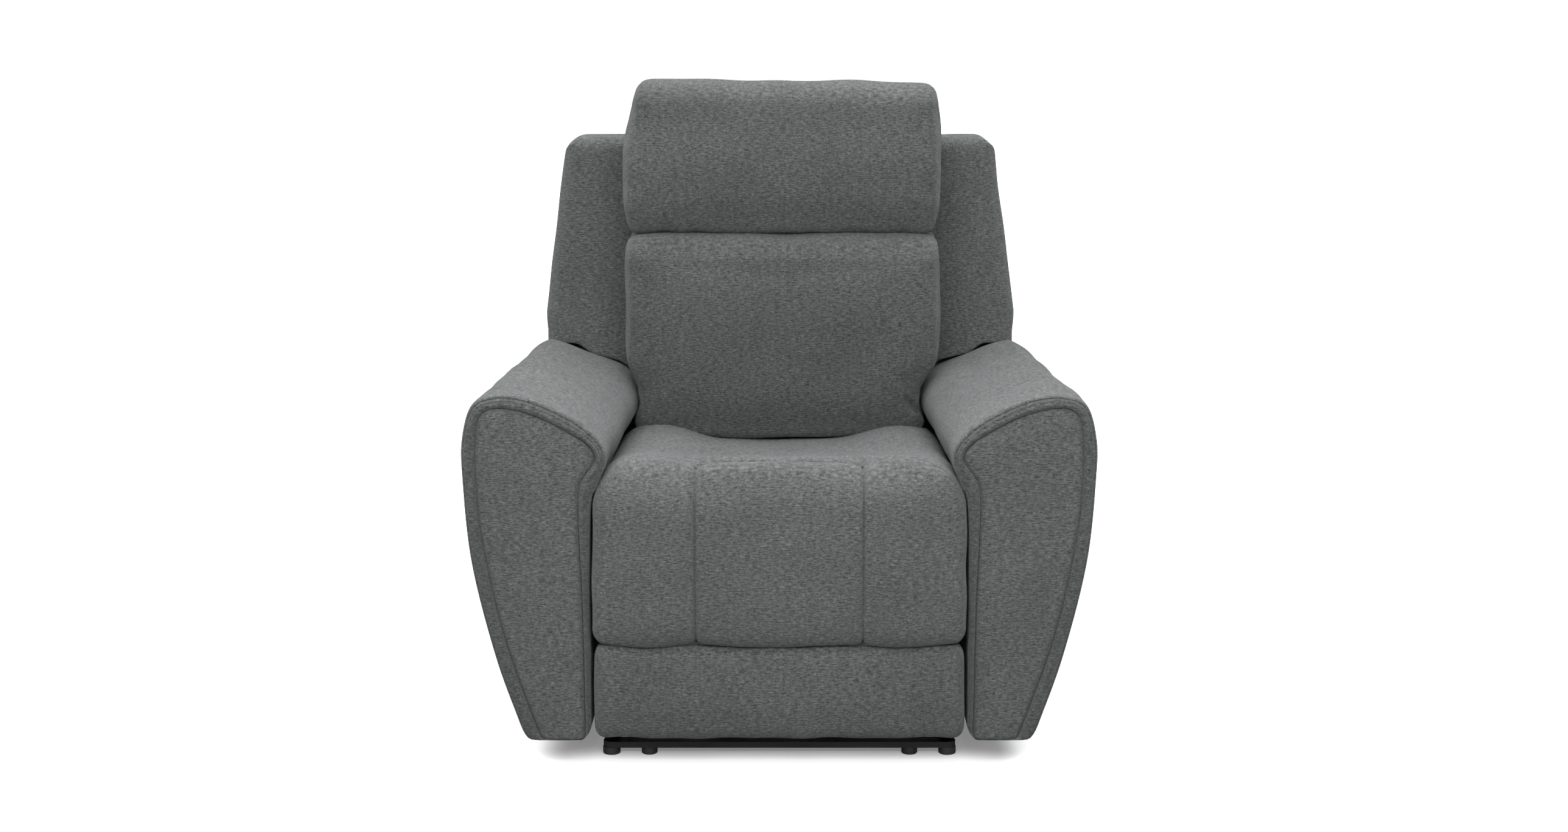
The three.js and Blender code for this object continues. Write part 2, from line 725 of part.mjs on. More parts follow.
function backCover() {
  const skin = rearPanelThickness + gap;
  const low = lowerBackBottom;
  const lowerProfile = closedShape([
    [backFrontY(low), low], [rearY(low) - skin, low],
    [rearY(wingLevel + 40) - skin, wingLevel + 40], [backFrontY(wingLevel + 40), wingLevel + 40],
  ]);
  const lower = sideSlab(lowerProfile, -lowerBackHalfWidth, lowerBackHalfWidth);
  const slack = 2 * gap;
  const postHalf = postThickness / 2;
  const far = 200;
  const slots = sides.flatMap(([, side]) => [
    sideSlab(leaningStrip(postBottom - 30, postTop + slack, -postHalf - slack, far),
      side * (postInnerX - slack), side * (postOuterX + slack)),
    sideSlab(leaningStrip(postBottom - 30, bracketTop + slack, -bracketHalfWidth - slack,
      bracketHalfWidth + slack), side * postOuterX, side * (postOuterX + gap + plateThickness + slack + 5)),
  ]);
  const railSlot = (z, reach) => sideSlab(leaningStrip(z - slack, z + backRailHeight + slack,
    postHalf - slack, far), -reach - slack, reach + slack);
  return cut(join(backWings(), lower), ...slots, railSlot(middleRailZ, middleRailReach()),
    railSlot(topRailZ(), topRailReach()));
}

function middleRailReach() {
  return backWidth / 2 - 35;
}

function topRailReach() {
  return backWidth / 2 - wingTopInset - 26;
}

function topRailZ() {
  return postTop - backRailHeight;
}

function backRail(z, reach) {
  const front = postThickness / 2 + gap;
  return sideSlab(leaningStrip(z, z + backRailHeight, front, front + backRailThickness), -reach, reach);
}

function rearPanel() {
  const thick = rearPanelThickness;
  const profile = closedShape([
    [rearBottomY, rearPanelBottom], [backReach, rearTopZ],
    [backReach - thick, rearTopZ], [rearBottomY - thick, rearPanelBottom],
  ]);
  const wide = backWidth / 2 - wingTopInset - 4;
  const narrow = lowerBackHalfWidth - 4;
  const notch = (side) => box(side * narrow, side * (wide + 10), rearBottomY - 30, backReach,
    rearPanelBottom - 10, wingFootLevel + 6);
  return cut(sideSlab(profile, -wide, wide), notch(-1), notch(1));
}

function backBracket(side) {
  const inner = side * (postOuterX + gap);
  const outer = inner + side * plateThickness;
  const strip = leaningStrip(backPivot[1] - 2, bracketTop, -bracketHalfWidth, bracketHalfWidth);
  const body = join(sideSlab(strip, inner, outer), crossBar(backPivot, backTubeRadius + 10, inner, outer));
  return cut(body, crossBar(backPivot, backTubeRadius + gap, inner - side * 20, outer + side * 20));
}

function lumbarCushion() {
  const back = (z) => backFrontY(z) - gap - 0.2;
  const front = lumbarFrontY;
  const profile = closedShape([
    [front + 34, lumbarBottom], [back(lumbarBottom), lumbarBottom], [back(lumbarTop), lumbarTop],
    [front + 62, lumbarTop], [front + 26, lumbarTop - 14], [front + 6, lumbarTop - 90],
    [front, 600], [front + 6, lumbarBottom + 40],
  ]);
  const narrow = betweenArmsHalfWidth;
  const wide = lumbarHalfWidth;
  const outline = [[narrow, lumbarBottom], [narrow, wingLevel], [wide, wingLevel],
    [wide, lumbarTop - 20], [wide - 14, lumbarTop]];
  const shape = closedShape([...outline, ...outline.map(([x, z]) => [-x, z]).reverse()]);
  return common(sideSlab(profile, -wide, wide), frontSlab(shape, front - 10, backReach));
}

function headCushion() {
  const back = (z) => backFrontY(z) - gap - 0.2;
  const low = lumbarTop + 2;
  const front = headFrontY;
  const profile = closedShape([
    [front + 18, low], [back(low), low], [back(backTop - 10), backTop - 10], [front + 205, headTop - 40],
    [front + 165, headTop - 9], [front + 115, headTop], [front + 58, headTop - 34],
    [front + 18, headTop - 110], [front, headTop - 190], [front + 4, low + 18],
  ]);
  const half = headHalfWidth;
  const outline = [[half - 14, low], [half, low + 22], [half, headTop - 120], [half - 8, headTop - 26],
    [half - 34, headTop + 1]];
  const shape = closedShape([...outline, ...outline.map(([x, z]) => [-x, z]).reverse()]);
  return common(sideSlab(profile, -half, half), frontSlab(shape, front - 10, backReach));
}

function buildBack() {
  place('back_pivot_tube', leverTube(backPivot, backTubeRadius, plateOuterX, reclineDriveX,
    reclineLever, reclineTravelDeg), zincSteel());
  const postHalf = postThickness / 2;
  for (const [name, side] of sides) {
    place(`back_post_${name}`, sideSlab(leaningStrip(postBottom, postTop, -postHalf, postHalf),
      side * postInnerX, side * postOuterX), plywood());
    place(`back_bracket_${name}`, backBracket(side), zincSteel());
  }
  place('back_top_rail', backRail(topRailZ(), topRailReach()), plywood());
  place('back_middle_rail', backRail(middleRailZ, middleRailReach()), plywood());
  place('back_cover', backCover(), fabric());
  place('back_rear_panel', rearPanel(), fabric());
  place('lumbar_cushion', lumbarCushion(), fabric());
  place('head_cushion', headCushion(), fabric());
}

// ---------------------------------------------------------------- rear of the chair

function powerInlet() {
  const z0 = glideHeight + baseBarHeight + gap;
  const y1 = baseRearY + 8;
  const body = box(inletX - inletWidth / 2, inletX + inletWidth / 2, y1 - inletLength, y1,
    z0, z0 + inletHeight);
  const middle = z0 + inletHeight / 2;
  return cut(body, box(inletX - socketSize / 2, inletX + socketSize / 2, y1 - socketDepth, y1 + 5,
    middle - socketSize / 2, middle + socketSize / 2));
}

function buildRear() {
  const skirtY = baseRearY + skirtBehindBar;
  place('rear_skirt', box(-padHalfWidth, padHalfWidth, skirtY, skirtY + skirtThickness,
    skirtBottom, skirtTop), fabric());
  place('power_inlet', powerInlet(), blackPlastic());
}

buildBase();
buildSeatFrame();
place('seat_cushion', seatCushion(), fabric());
buildArms();
buildLegrest();
buildMechanism();
buildBack();
buildRear();

const model = new THREE.Group();
chair.position.y = -originY;
model.add(chair);

export default model;
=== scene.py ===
"""Looks of the recliner armchair: upholstery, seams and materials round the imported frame."""
import json
import math

import bpy
import numpy as np
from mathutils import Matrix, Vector


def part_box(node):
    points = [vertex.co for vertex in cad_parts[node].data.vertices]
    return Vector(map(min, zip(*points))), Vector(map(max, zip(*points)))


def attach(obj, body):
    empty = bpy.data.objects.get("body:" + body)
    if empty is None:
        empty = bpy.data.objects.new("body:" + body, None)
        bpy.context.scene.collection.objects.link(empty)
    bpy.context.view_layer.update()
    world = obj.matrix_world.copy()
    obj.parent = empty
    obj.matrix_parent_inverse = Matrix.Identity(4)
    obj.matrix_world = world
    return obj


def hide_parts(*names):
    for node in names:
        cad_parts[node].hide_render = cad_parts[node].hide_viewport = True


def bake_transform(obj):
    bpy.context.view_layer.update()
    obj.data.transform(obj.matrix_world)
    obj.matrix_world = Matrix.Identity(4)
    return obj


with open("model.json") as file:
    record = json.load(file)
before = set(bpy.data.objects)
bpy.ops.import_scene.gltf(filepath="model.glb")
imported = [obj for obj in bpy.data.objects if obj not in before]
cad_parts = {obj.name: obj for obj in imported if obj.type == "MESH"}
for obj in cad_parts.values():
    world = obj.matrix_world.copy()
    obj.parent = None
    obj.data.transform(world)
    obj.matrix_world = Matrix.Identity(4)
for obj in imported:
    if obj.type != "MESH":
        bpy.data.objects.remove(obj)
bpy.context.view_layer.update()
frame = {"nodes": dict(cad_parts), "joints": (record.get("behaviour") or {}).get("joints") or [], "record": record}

# ------------------------------------------------------------------ places taken from the frame

MM = 0.001
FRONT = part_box("arm_cover_left")[0].y          # plane of the arm fronts; depths below are measured from it
ARM_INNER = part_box("seat_side_rail_right")[1].x + 0.4 * MM
ARM_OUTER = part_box("arm_cover_right")[1].x
ARM_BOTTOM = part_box("arm_cover_left")[0].z
ARM_TOP = 0.604
ARM_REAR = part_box("arm_cover_left")[1].y
SEAT_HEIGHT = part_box("seat_cushion")[1].z
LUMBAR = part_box("lumbar_cushion")
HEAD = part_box("head_cushion")
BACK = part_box("back_cover")
REAR_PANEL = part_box("back_rear_panel")
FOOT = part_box("footrest_pad")
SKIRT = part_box("rear_skirt")


def joint(name):
    return next(j for j in frame["joints"] if j["name"] == name)


LEGREST_PIVOT = joint("legrest_swing")["pos_m"]
BACK_LEAN = 0.25                               # the back's front face, per unit of height
BACK_DEPTH = 0.680                             # that face's depth at the level below
WING_LEVEL = 0.612
REAR_DEPTH = 0.735                             # the rear panel's depth at its foot
WING_FOOT = 0.352                              # lowest point of the wings, behind the arms
# The wings' underside is an arc about the back's pivot that brushes the arm tops: its radius at each
# distance from the middle.
WING_REACH = [0.250, 0.262, 0.292, 0.350, 0.372]
WING_SWING = [0.234, 0.241, 0.2655, 0.2795, 0.2985]


def back_front_y(z):
    return FRONT + BACK_DEPTH + BACK_LEAN * (z - WING_LEVEL)


def back_rear_y(z):
    low, high = REAR_PANEL
    return REAR_DEPTH + FRONT + (high.y - FRONT - REAR_DEPTH) * (z - low.z) / (high.z - low.z)


# ------------------------------------------------------------------ small helpers

def ramp(value, low, high):
    t = np.clip((value - low) / (high - low), 0.0, 1.0)
    return t * t * (3 - 2 * t)


def bump(value, centre, half):
    """1 at the centre, 0 beyond half, smooth between."""
    t = np.clip(np.abs(value - centre) / half, 0.0, 1.0)
    return (1 - t * t) ** 2


def waves(points, seed, size, count=9):
    """Smooth low ripples, between about -1 and 1, from a few seeded plane waves."""
    rng = np.random.default_rng(seed)
    total = np.zeros(len(points))
    for _ in range(count):
        direction = rng.normal(size=3)
        direction /= np.linalg.norm(direction)
        scale = 2 * math.pi / (size * rng.uniform(0.6, 1.7))
        total += np.sin(points @ direction * scale + rng.uniform(0, 2 * math.pi))
    return total / math.sqrt(count)


def make_mesh(name, points, faces):
    mesh = bpy.data.meshes.new(name)
    mesh.from_pydata([tuple(p) for p in points], [], [tuple(f) for f in faces])
    mesh.validate()
    mesh.update()
    made = bpy.data.objects.new(name, mesh)
    bpy.context.scene.collection.objects.link(made)
    mesh.polygons.foreach_set("use_smooth", [True] * len(mesh.polygons))
    return made


def vertices(obj):
    co = np.zeros(len(obj.data.vertices) * 3)
    obj.data.vertices.foreach_get("co", co)
    return co.reshape(-1, 3)


def set_vertices(obj, co):
    obj.data.vertices.foreach_set("co", np.asarray(co, float).ravel())
    obj.data.update()


def normals(obj):
    n = np.zeros(len(obj.data.vertices) * 3)
    obj.data.vertices.foreach_get("normal", n)
    return n.reshape(-1, 3)


def apply_modifiers(obj):
    graph = bpy.context.evaluated_depsgraph_get()
    mesh = bpy.data.meshes.new_from_object(obj.evaluated_get(graph))
    old = obj.data
    obj.modifiers.clear()
    obj.data = mesh
    bpy.data.meshes.remove(old)


def subdivide(obj):
    modifier = obj.modifiers.new("subdivision", "SUBSURF")
    modifier.levels = modifier.render_levels = 1
    apply_modifiers(obj)
    obj.data.polygons.foreach_set("use_smooth", [True] * len(obj.data.polygons))


def grid_faces(rows, columns, flip):
    """Quads of a sheet whose points run along each row in turn."""
    faces = []
    for r in range(rows - 1):
        for c in range(columns - 1):
            a = r * columns + c
            quad = (a, a + 1, a + columns + 1, a + columns)
            faces.append(quad[::-1] if flip else quad)
    return faces


def thicken(obj, thickness):
    """Gives a sheet its thickness, behind the face it shows."""
    modifier = obj.modifiers.new("thickness", "SOLIDIFY")
    modifier.thickness = thickness
    modifier.offset = -1.0
    apply_modifiers(obj)
    subdivide(obj)


def end_cap(count, first):
    """Faces that close one ring: a strip that zips both ways round from its point number first."""
    faces = [(first, (first + 1) % count, (first - 1) % count)]
    step = 1
    while 2 * step + 2 < count:
        right, left = first + step, first - step
        faces.append(tuple(k % count for k in (right, right + 1, left - 1, left)))
        step += 1
    if count % 2 == 0:
        faces.append(tuple(k % count for k in (first + step, first + step + 1, first - step)))
    return faces


def ring_faces(rings, count, first):
    """Quads between closed rings of the same count, with the first and last ring closed."""
    faces = []
    for r in range(rings - 1):
        for k in range(count):
            a, b = r * count + k, r * count + (k + 1) % count
            faces.append((a, b, b + count, a + count))
    cap = end_cap(count, first)
    faces += [tuple(reversed(f)) for f in cap]
    faces += [tuple((rings - 1) * count + k for k in f) for f in cap]
    return faces


def spaced(start, stop, step, seams=(), near=(0.0, 0.0013, 0.003, 0.006, 0.011)):
    """Sample places from start to stop about a step apart, closer together beside each seam."""
    places = set(np.round(np.linspace(start, stop, max(2, int(round(abs(stop - start) / step)) + 1)), 6))
    low, high = min(start, stop), max(start, stop)
    for seam in seams:
        places = {p for p in places if abs(p - seam) > near[-1] + step * 0.35 or p in (start, stop)}
        for distance in near:
            for place in (seam - distance, seam + distance):
                if low < place < high:
                    places.add(round(place, 6))
    ordered = sorted(places)
    return np.array(ordered if stop > start else ordered[::-1])


def spline(points, per_span=24):
    """A dense Catmull-Rom curve through the points, per_span points from each to the next."""
    p = np.array(points, float)
    p = np.vstack([2 * p[0] - p[1], p, 2 * p[-1] - p[-2]])
    dense = []
    for i in range(1, len(p) - 2):
        t = np.linspace(0, 1, per_span, endpoint=False)[:, None]
        a, b, c, d = p[i - 1], p[i], p[i + 1], p[i + 2]
        dense.append(0.5 * (2 * b + (c - a) * t + (2 * a - 5 * b + 4 * c - d) * t ** 2
                            + (3 * b - a - 3 * c + d) * t ** 3))
    dense.append(p[-2][None])
    return np.vstack(dense)


def resample(curve, count):
    """The same curve as evenly spaced points."""
    length = np.concatenate([[0], np.cumsum(np.linalg.norm(np.diff(curve, axis=0), axis=1))])
    at = np.linspace(0, length[-1], count)
    return np.stack([np.interp(at, length, curve[:, k]) for k in range(curve.shape[1])], axis=1)


# ------------------------------------------------------------------ materials

class Nodes:
    """A short way to write node trees."""

    def __init__(self, name):
        self.material = bpy.data.materials.new(name)
        self.material.use_nodes = True
        self.tree = self.material.node_tree
        self.tree.nodes.clear()

    def add(self, kind, inputs=None, **settings):
        node = self.tree.nodes.new(kind)
        for key, value in settings.items():
            setattr(node, key, value)
        for key, value in (inputs or {}).items():
            if isinstance(value, bpy.types.NodeSocket):
                self.tree.links.new(value, node.inputs[key])
            else:
                node.inputs[key].default_value = value
        return node

    def math(self, operation, a, b=0.0, c=0.0):
        node = self.add("ShaderNodeMath", {0: a, 1: b, 2: c}, operation=operation)
        return node.outputs[0]

    def mix(self, factor, a, b, kind="MIX"):
        node = self.add("ShaderNodeMix", data_type="RGBA", blend_type=kind)
        for key, value in ((0, factor), (6, a), (7, b)):
            if isinstance(value, bpy.types.NodeSocket):
                self.tree.links.new(value, node.inputs[key])
            else:
                node.inputs[key].default_value = value
        return node.outputs[2]

    def spread(self, value, low, high, to_low, to_high):
        node = self.add("ShaderNodeMapRange", {0: value, 1: low, 2: high, 3: to_low, 4: to_high})
        return node.outputs[0]

    def finish(self, shader):
        out = self.add("ShaderNodeOutputMaterial")
        self.tree.links.new(shader.outputs[0], out.inputs[0])
        return self.material


def woven_fabric(name, dark, light, pitch=0.0027, relief=0.00055):
    """A plain weave of mixed grey yarns: bumps in offset rows, each with its own shade, and long slubs."""
    n = Nodes(name)
    place = n.add("ShaderNodeTexCoord")
    point = n.add("ShaderNodeSeparateXYZ", {0: place.outputs["Object"]})
    facing = n.add("ShaderNodeSeparateXYZ", {0: place.outputs["Normal"]})
    px, py, pz = point.outputs
    nx, ny, nz = (n.math("ABSOLUTE", out) for out in facing.outputs)
    on_side = n.math("MULTIPLY", n.math("GREATER_THAN", nx, ny), n.math("GREATER_THAN", nx, nz))
    on_top = n.math("MULTIPLY", n.math("GREATER_THAN", nz, ny), n.math("SUBTRACT", 1.0, on_side))
    across = n.math("ADD", n.math("MULTIPLY", px, n.math("SUBTRACT", 1.0, on_side)),
                    n.math("MULTIPLY", py, on_side))
    along = n.math("ADD", n.math("MULTIPLY", pz, n.math("SUBTRACT", 1.0, on_top)),
                   n.math("MULTIPLY", py, on_top))
    row_place = n.math("DIVIDE", along, pitch * 0.62)
    row = n.math("FLOOR", row_place)
    column_place = n.math("ADD", n.math("DIVIDE", across, pitch), n.math("MULTIPLY", row, 0.5))
    column = n.math("FLOOR", column_place)
    swell_a = n.math("ABSOLUTE", n.math("SINE", n.math("MULTIPLY", column_place, math.pi)))
    swell_b = n.math("ABSOLUTE", n.math("SINE", n.math("MULTIPLY", row_place, math.pi)))
    height = n.math("MULTIPLY", swell_a, swell_b)
    cell = n.add("ShaderNodeCombineXYZ", {0: column, 1: row, 2: on_top})
    shade = n.add("ShaderNodeTexWhiteNoise", {"Vector": cell.outputs[0]}, noise_dimensions="3D")
    drawn = n.math("MULTIPLY", along, n.spread(on_top, 0.0, 1.0, 1.0, 0.3))
    slub_place = n.add("ShaderNodeCombineXYZ", {
        0: n.math("MULTIPLY", across, 95.0), 1: n.math("MULTIPLY", drawn, 560.0), 2: on_side})
    slub = n.add("ShaderNodeTexNoise", {"Vector": slub_place.outputs[0], "Scale": 1.0, "Detail": 3.0,
                                        "Roughness": 0.6})
    fleck_place = n.add("ShaderNodeMapping", {"Vector": place.outputs["Object"], "Scale": (1, 0.3, 1)})
    fleck = n.add("ShaderNodeTexNoise", {"Vector": fleck_place.outputs[0], "Scale": 210.0, "Detail": 3.0})
    cloud = n.add("ShaderNodeTexNoise", {"Vector": place.outputs["Object"], "Scale": 7.0, "Detail": 4.0})
    streak_place = n.add("ShaderNodeCombineXYZ", {
        0: n.math("MULTIPLY", across, 110.0), 1: n.math("MULTIPLY", drawn, 620.0), 2: on_side})
    streak = n.add("ShaderNodeTexNoise", {"Vector": streak_place.outputs[0], "Scale": 1.0, "Detail": 2.0})
    yarn = n.math("ADD", n.math("MULTIPLY", shade.outputs[0], 0.34),
                  n.spread(slub.outputs[0], 0.33, 0.67, -0.06, 0.45))
    yarn = n.math("ADD", yarn, n.spread(streak.outputs[0], 0.30, 0.70, -0.06, 0.42))
    yarn = n.math("MULTIPLY", yarn, n.spread(height, 0.0, 0.55, 0.62, 1.0))
    colour = n.mix(yarn, dark, light)
    speckle = n.math("MULTIPLY", n.spread(fleck.outputs[0], 0.3, 0.7, -0.5, 0.5),
                     n.spread(nz, 0.80, 1.0, 0.46, 0.90))
    tone = n.math("MULTIPLY", n.spread(cloud.outputs[0], 0.3, 0.7, 0.93, 1.07),
                  n.math("ADD", speckle, 1.0))
    tone_colour = n.add("ShaderNodeCombineColor", {0: tone, 1: tone, 2: tone})
    colour = n.mix(1.0, colour, tone_colour.outputs[0], "MULTIPLY")
    lift = n.math("ADD", height, n.math("MULTIPLY", slub.outputs[0], 0.6))
    raised = n.add("ShaderNodeBump", {"Strength": 0.9, "Distance": relief, "Height": lift})
    rough = n.spread(shade.outputs[0], 0.0, 1.0, 0.82, 0.98)
    shader = n.add("ShaderNodeBsdfPrincipled", {
        "Base Color": colour, "Roughness": rough, "Normal": raised.outputs[0], "Sheen Weight": 0.18,
        "Sheen Roughness": 0.5, "Specular IOR Level": 0.15})
    shader.inputs["Sheen Tint"].default_value = (0.75, 0.78, 0.78, 1)
    return n.finish(shader)


def plywood(name):
    n = Nodes(name)
    place = n.add("ShaderNodeTexCoord")
    grain_place = n.add("ShaderNodeMapping", {"Vector": place.outputs["Object"], "Scale": (6, 90, 90)})
    grain = n.add("ShaderNodeTexNoise", {"Vector": grain_place.outputs[0], "Scale": 1.0, "Detail": 6.0,
                                         "Distortion": 0.4})
    ply = n.add("ShaderNodeTexWave", {"Vector": place.outputs["Object"], "Scale": 60.0, "Distortion": 0.6},
                bands_direction="Y")
    colour = n.mix(n.spread(grain.outputs[0], 0.3, 0.7, 0, 1), (0.30, 0.19, 0.09, 1), (0.56, 0.40, 0.22, 1))
    colour = n.mix(n.math("MULTIPLY", ply.outputs[1], 0.25), colour, (0.24, 0.14, 0.07, 1))
    raised = n.add("ShaderNodeBump", {"Strength": 0.4, "Distance": 0.0006, "Height": grain.outputs[0]})
    shader = n.add("ShaderNodeBsdfPrincipled", {"Base Color": colour, "Roughness": 0.72,
                                                "Normal": raised.outputs[0]})
    return n.finish(shader)


def coated(name, colour, metallic, rough_low, rough_high, grain_scale, relief):
    """Metal or moulded plastic: an even colour, uneven gloss and a fine surface grain."""
    n = Nodes(name)
    place = n.add("ShaderNodeTexCoord")
    grain = n.add("ShaderNodeTexNoise", {"Vector": place.outputs["Object"], "Scale": grain_scale,
                                         "Detail": 3.0})
    smudge = n.add("ShaderNodeTexNoise", {"Vector": place.outputs["Object"], "Scale": 14.0, "Detail": 4.0})
    worn = tuple(min(1.0, c * 1.5 + 0.01) for c in colour[:3]) + (1,)
    tint = n.mix(n.spread(smudge.outputs[0], 0.35, 0.75, 0, 1), colour, worn)
    rough = n.spread(smudge.outputs[0], 0.3, 0.7, rough_low, rough_high)
    raised = n.add("ShaderNodeBump", {"Strength": 0.5, "Distance": relief, "Height": grain.outputs[0]})
    shader = n.add("ShaderNodeBsdfPrincipled", {"Base Color": tint, "Metallic": metallic,
                                                "Roughness": rough, "Normal": raised.outputs[0]})
    return n.finish(shader)


FABRIC = woven_fabric("grey_weave", (0.0148, 0.0163, 0.016, 1), (0.108, 0.1145, 0.1127, 1))
BAND_FABRIC = woven_fabric("grey_weave_band", (0.0128, 0.0141, 0.0139, 1), (0.092, 0.0973, 0.0955, 1),
                           pitch=0.0034, relief=0.0008)
# a darker copy of the fabric for the faces in the seat's seam grooves: painted shade
SEAM_SHADE_FABRIC = woven_fabric("grey_weave_seam_shade", (0.014, 0.0155, 0.015, 1), (0.085, 0.09, 0.0885, 1))
WOOD = plywood("plywood_grain")
BLACK_STEEL = coated("black_powder_coat", (0.012, 0.012, 0.013, 1), 0.3, 0.35, 0.5, 900.0, 0.00015)
ZINC = coated("zinc_plate", (0.42, 0.43, 0.44, 1), 0.9, 0.28, 0.46, 600.0, 0.0001)
PLASTIC = coated("black_plastic_grain", (0.016, 0.016, 0.017, 1), 0.0, 0.4, 0.58, 1500.0, 0.0002)


def face_centres(obj):
    centre = np.zeros(len(obj.data.polygons) * 3)
    obj.data.polygons.foreach_get("center", centre)
    return centre.reshape(-1, 3)


def second_material(obj, material, chosen):
    """Gives the faces that chosen(centres) picks another material."""
    obj.data.materials.append(material)
    obj.data.polygons.foreach_set("material_index", chosen(face_centres(obj)).astype(np.int32))


def dress(obj, material):
    obj.data.materials.clear()
    obj.data.materials.append(material)
    return obj


# ------------------------------------------------------------------ cushion making

def box_lattice(counts):
    """Unit positions and quads of a box's surface, cut into counts along X, Y and Z."""
    index = {}

    def vertex(*key):
        return index.setdefault(key, len(index))

    faces = []
    for axis in range(3):
        u, v = (axis + 1) % 3, (axis + 2) % 3
        for i in range(counts[u]):
            for j in range(counts[v]):
                corners = []
                for a, b in ((i, j), (i + 1, j), (i + 1, j + 1), (i, j + 1)):
                    key = [0, 0, 0]
                    key[u], key[v] = a, b
                    corners.append(key)
                for end in (0, counts[axis]):
                    quad = []
                    for key in corners:
                        placed = list(key)
                        placed[axis] = end
                        quad.append(vertex(*placed))
                    faces.append(quad if end else quad[::-1])
    unit = np.array(list(index), float) / np.array(counts)
    return unit, faces


def rounded_box(name, low, high, radius, step=0.009):
    low, high, radius = np.array(low), np.array(high), np.array(radius)
    counts = [max(4, int(round(side / step))) for side in high - low]
    unit, faces = box_lattice(counts)
    p = low + unit * (high - low)
    inner = np.clip(p, low + radius, high - radius)
    d = (p - inner) / radius
    length = np.linalg.norm(d, axis=1)
    away = length > 1e-9
    p[away] = inner[away] + d[away] / length[away, None] * radius
    return make_mesh(name, p, faces)


CLOTH_VOXEL = 0.006
CLOTH_FRAMES = 20
CLOTH_PRESSURE = 4.0
CLOTH_STIFFNESS = 12.0


def inflate(obj, cap, pinned):
    """Cloth under air pressure: the cover swells and creases, no point moving further than cap.
    pinned gives each point's hold, from 0 to 1, where the piece rests on what is behind it."""
    remesh = obj.modifiers.new("remesh", "REMESH")
    remesh.mode = "VOXEL"
    remesh.voxel_size = CLOTH_VOXEL
    apply_modifiers(obj)
    start = vertices(obj)
    group = obj.vertex_groups.new(name="held")
    hold = pinned(start)
    for k in np.nonzero(hold > 0.01)[0]:
        group.add([int(k)], float(hold[k]), "REPLACE")
    cloth = obj.modifiers.new("cloth", "CLOTH")
    settings = cloth.settings
    settings.quality = 5
    settings.mass = 0.35
    settings.tension_stiffness = CLOTH_STIFFNESS
    settings.compression_stiffness = CLOTH_STIFFNESS
    settings.shear_stiffness = CLOTH_STIFFNESS * 0.6
    settings.bending_stiffness = 1.2
    settings.use_pressure = True
    settings.uniform_pressure_force = CLOTH_PRESSURE
    settings.effector_weights.gravity = 0.0
    settings.vertex_group_mass = "held"
    cloth.collision_settings.use_collision = False
    cloth.collision_settings.use_self_collision = False
    cloth.point_cache.frame_start, cloth.point_cache.frame_end = 1, CLOTH_FRAMES
    scene = bpy.context.scene
    for step in range(1, CLOTH_FRAMES + 1):
        scene.frame_set(step)
    graph = bpy.context.evaluated_depsgraph_get()
    moved = np.zeros(len(start) * 3)
    obj.evaluated_get(graph).data.vertices.foreach_get("co", moved)
    moved = moved.reshape(-1, 3)
    obj.modifiers.clear()
    obj.vertex_groups.clear()
    scene.frame_set(1)
    shift = moved - start
    reach = np.linalg.norm(shift, axis=1)
    scale = np.where(reach > 1e-9, np.tanh(0.5 * reach / cap) * cap / np.maximum(reach, 1e-9), 1.0)
    set_vertices(obj, start + shift * scale[:, None])
    subdivide(obj)


# ------------------------------------------------------------------ arms

# The arm's outline from the front: across from the inner face (0) to the outermost point (1), and up from
# the bottom (0) to the top (1). It runs from the outer foot, over the roll, to the inner foot.
ARM_LINE = [(0.564, 0.030), (0.762, 0.246), (0.936, 0.523), (0.994, 0.777), (0.988, 0.880), (0.911, 0.973),
            (0.738, 1.0), (0.5, 0.995), (0.243, 0.959), (0.035, 0.914), (-0.114, 0.854), (-0.129, 0.802),
            (-0.059, 0.736), (0.0, 0.632), (0.01, 0.03)]
PANEL_LINE = [(0.401, 0.006), (0.495, 0.098), (0.629, 0.241), (0.738, 0.391), (0.851, 0.614), (0.881, 0.784),
              (0.861, 0.916), (0.787, 0.954), (0.653, 0.961), (0.401, 0.936), (0.168, 0.893), (0.005, 0.854),
              (-0.04, 0.813), (0.04, 0.775), (0.094, 0.725), (0.089, 0.579), (0.069, 0.396), (0.059, 0.006)]
# The same features on both lines: outer foot, top, nose, throat under the nose, inner foot.
ARM_MARKS = (0, 6, 11, 13, 14)
PANEL_MARKS = (0, 8, 12, 15, 17)
MARK_COUNTS = (48, 34, 14, 40)
SPLINE_STEPS = 24


def arm_curve(line, marks):
    points = [(ARM_INNER + u * (ARM_OUTER - ARM_INNER) / 0.994, ARM_BOTTOM + v * (ARM_TOP - ARM_BOTTOM))
              for u, v in line]
    dense = spline(points, SPLINE_STEPS)
    parts = []
    for (a, b), count in zip(zip(marks, marks[1:]), MARK_COUNTS):
        part = resample(dense[a * SPLINE_STEPS:b * SPLINE_STEPS + 1], count + 1)
        parts.append(part if b == marks[-1] else part[:-1])
    return np.vstack(parts)


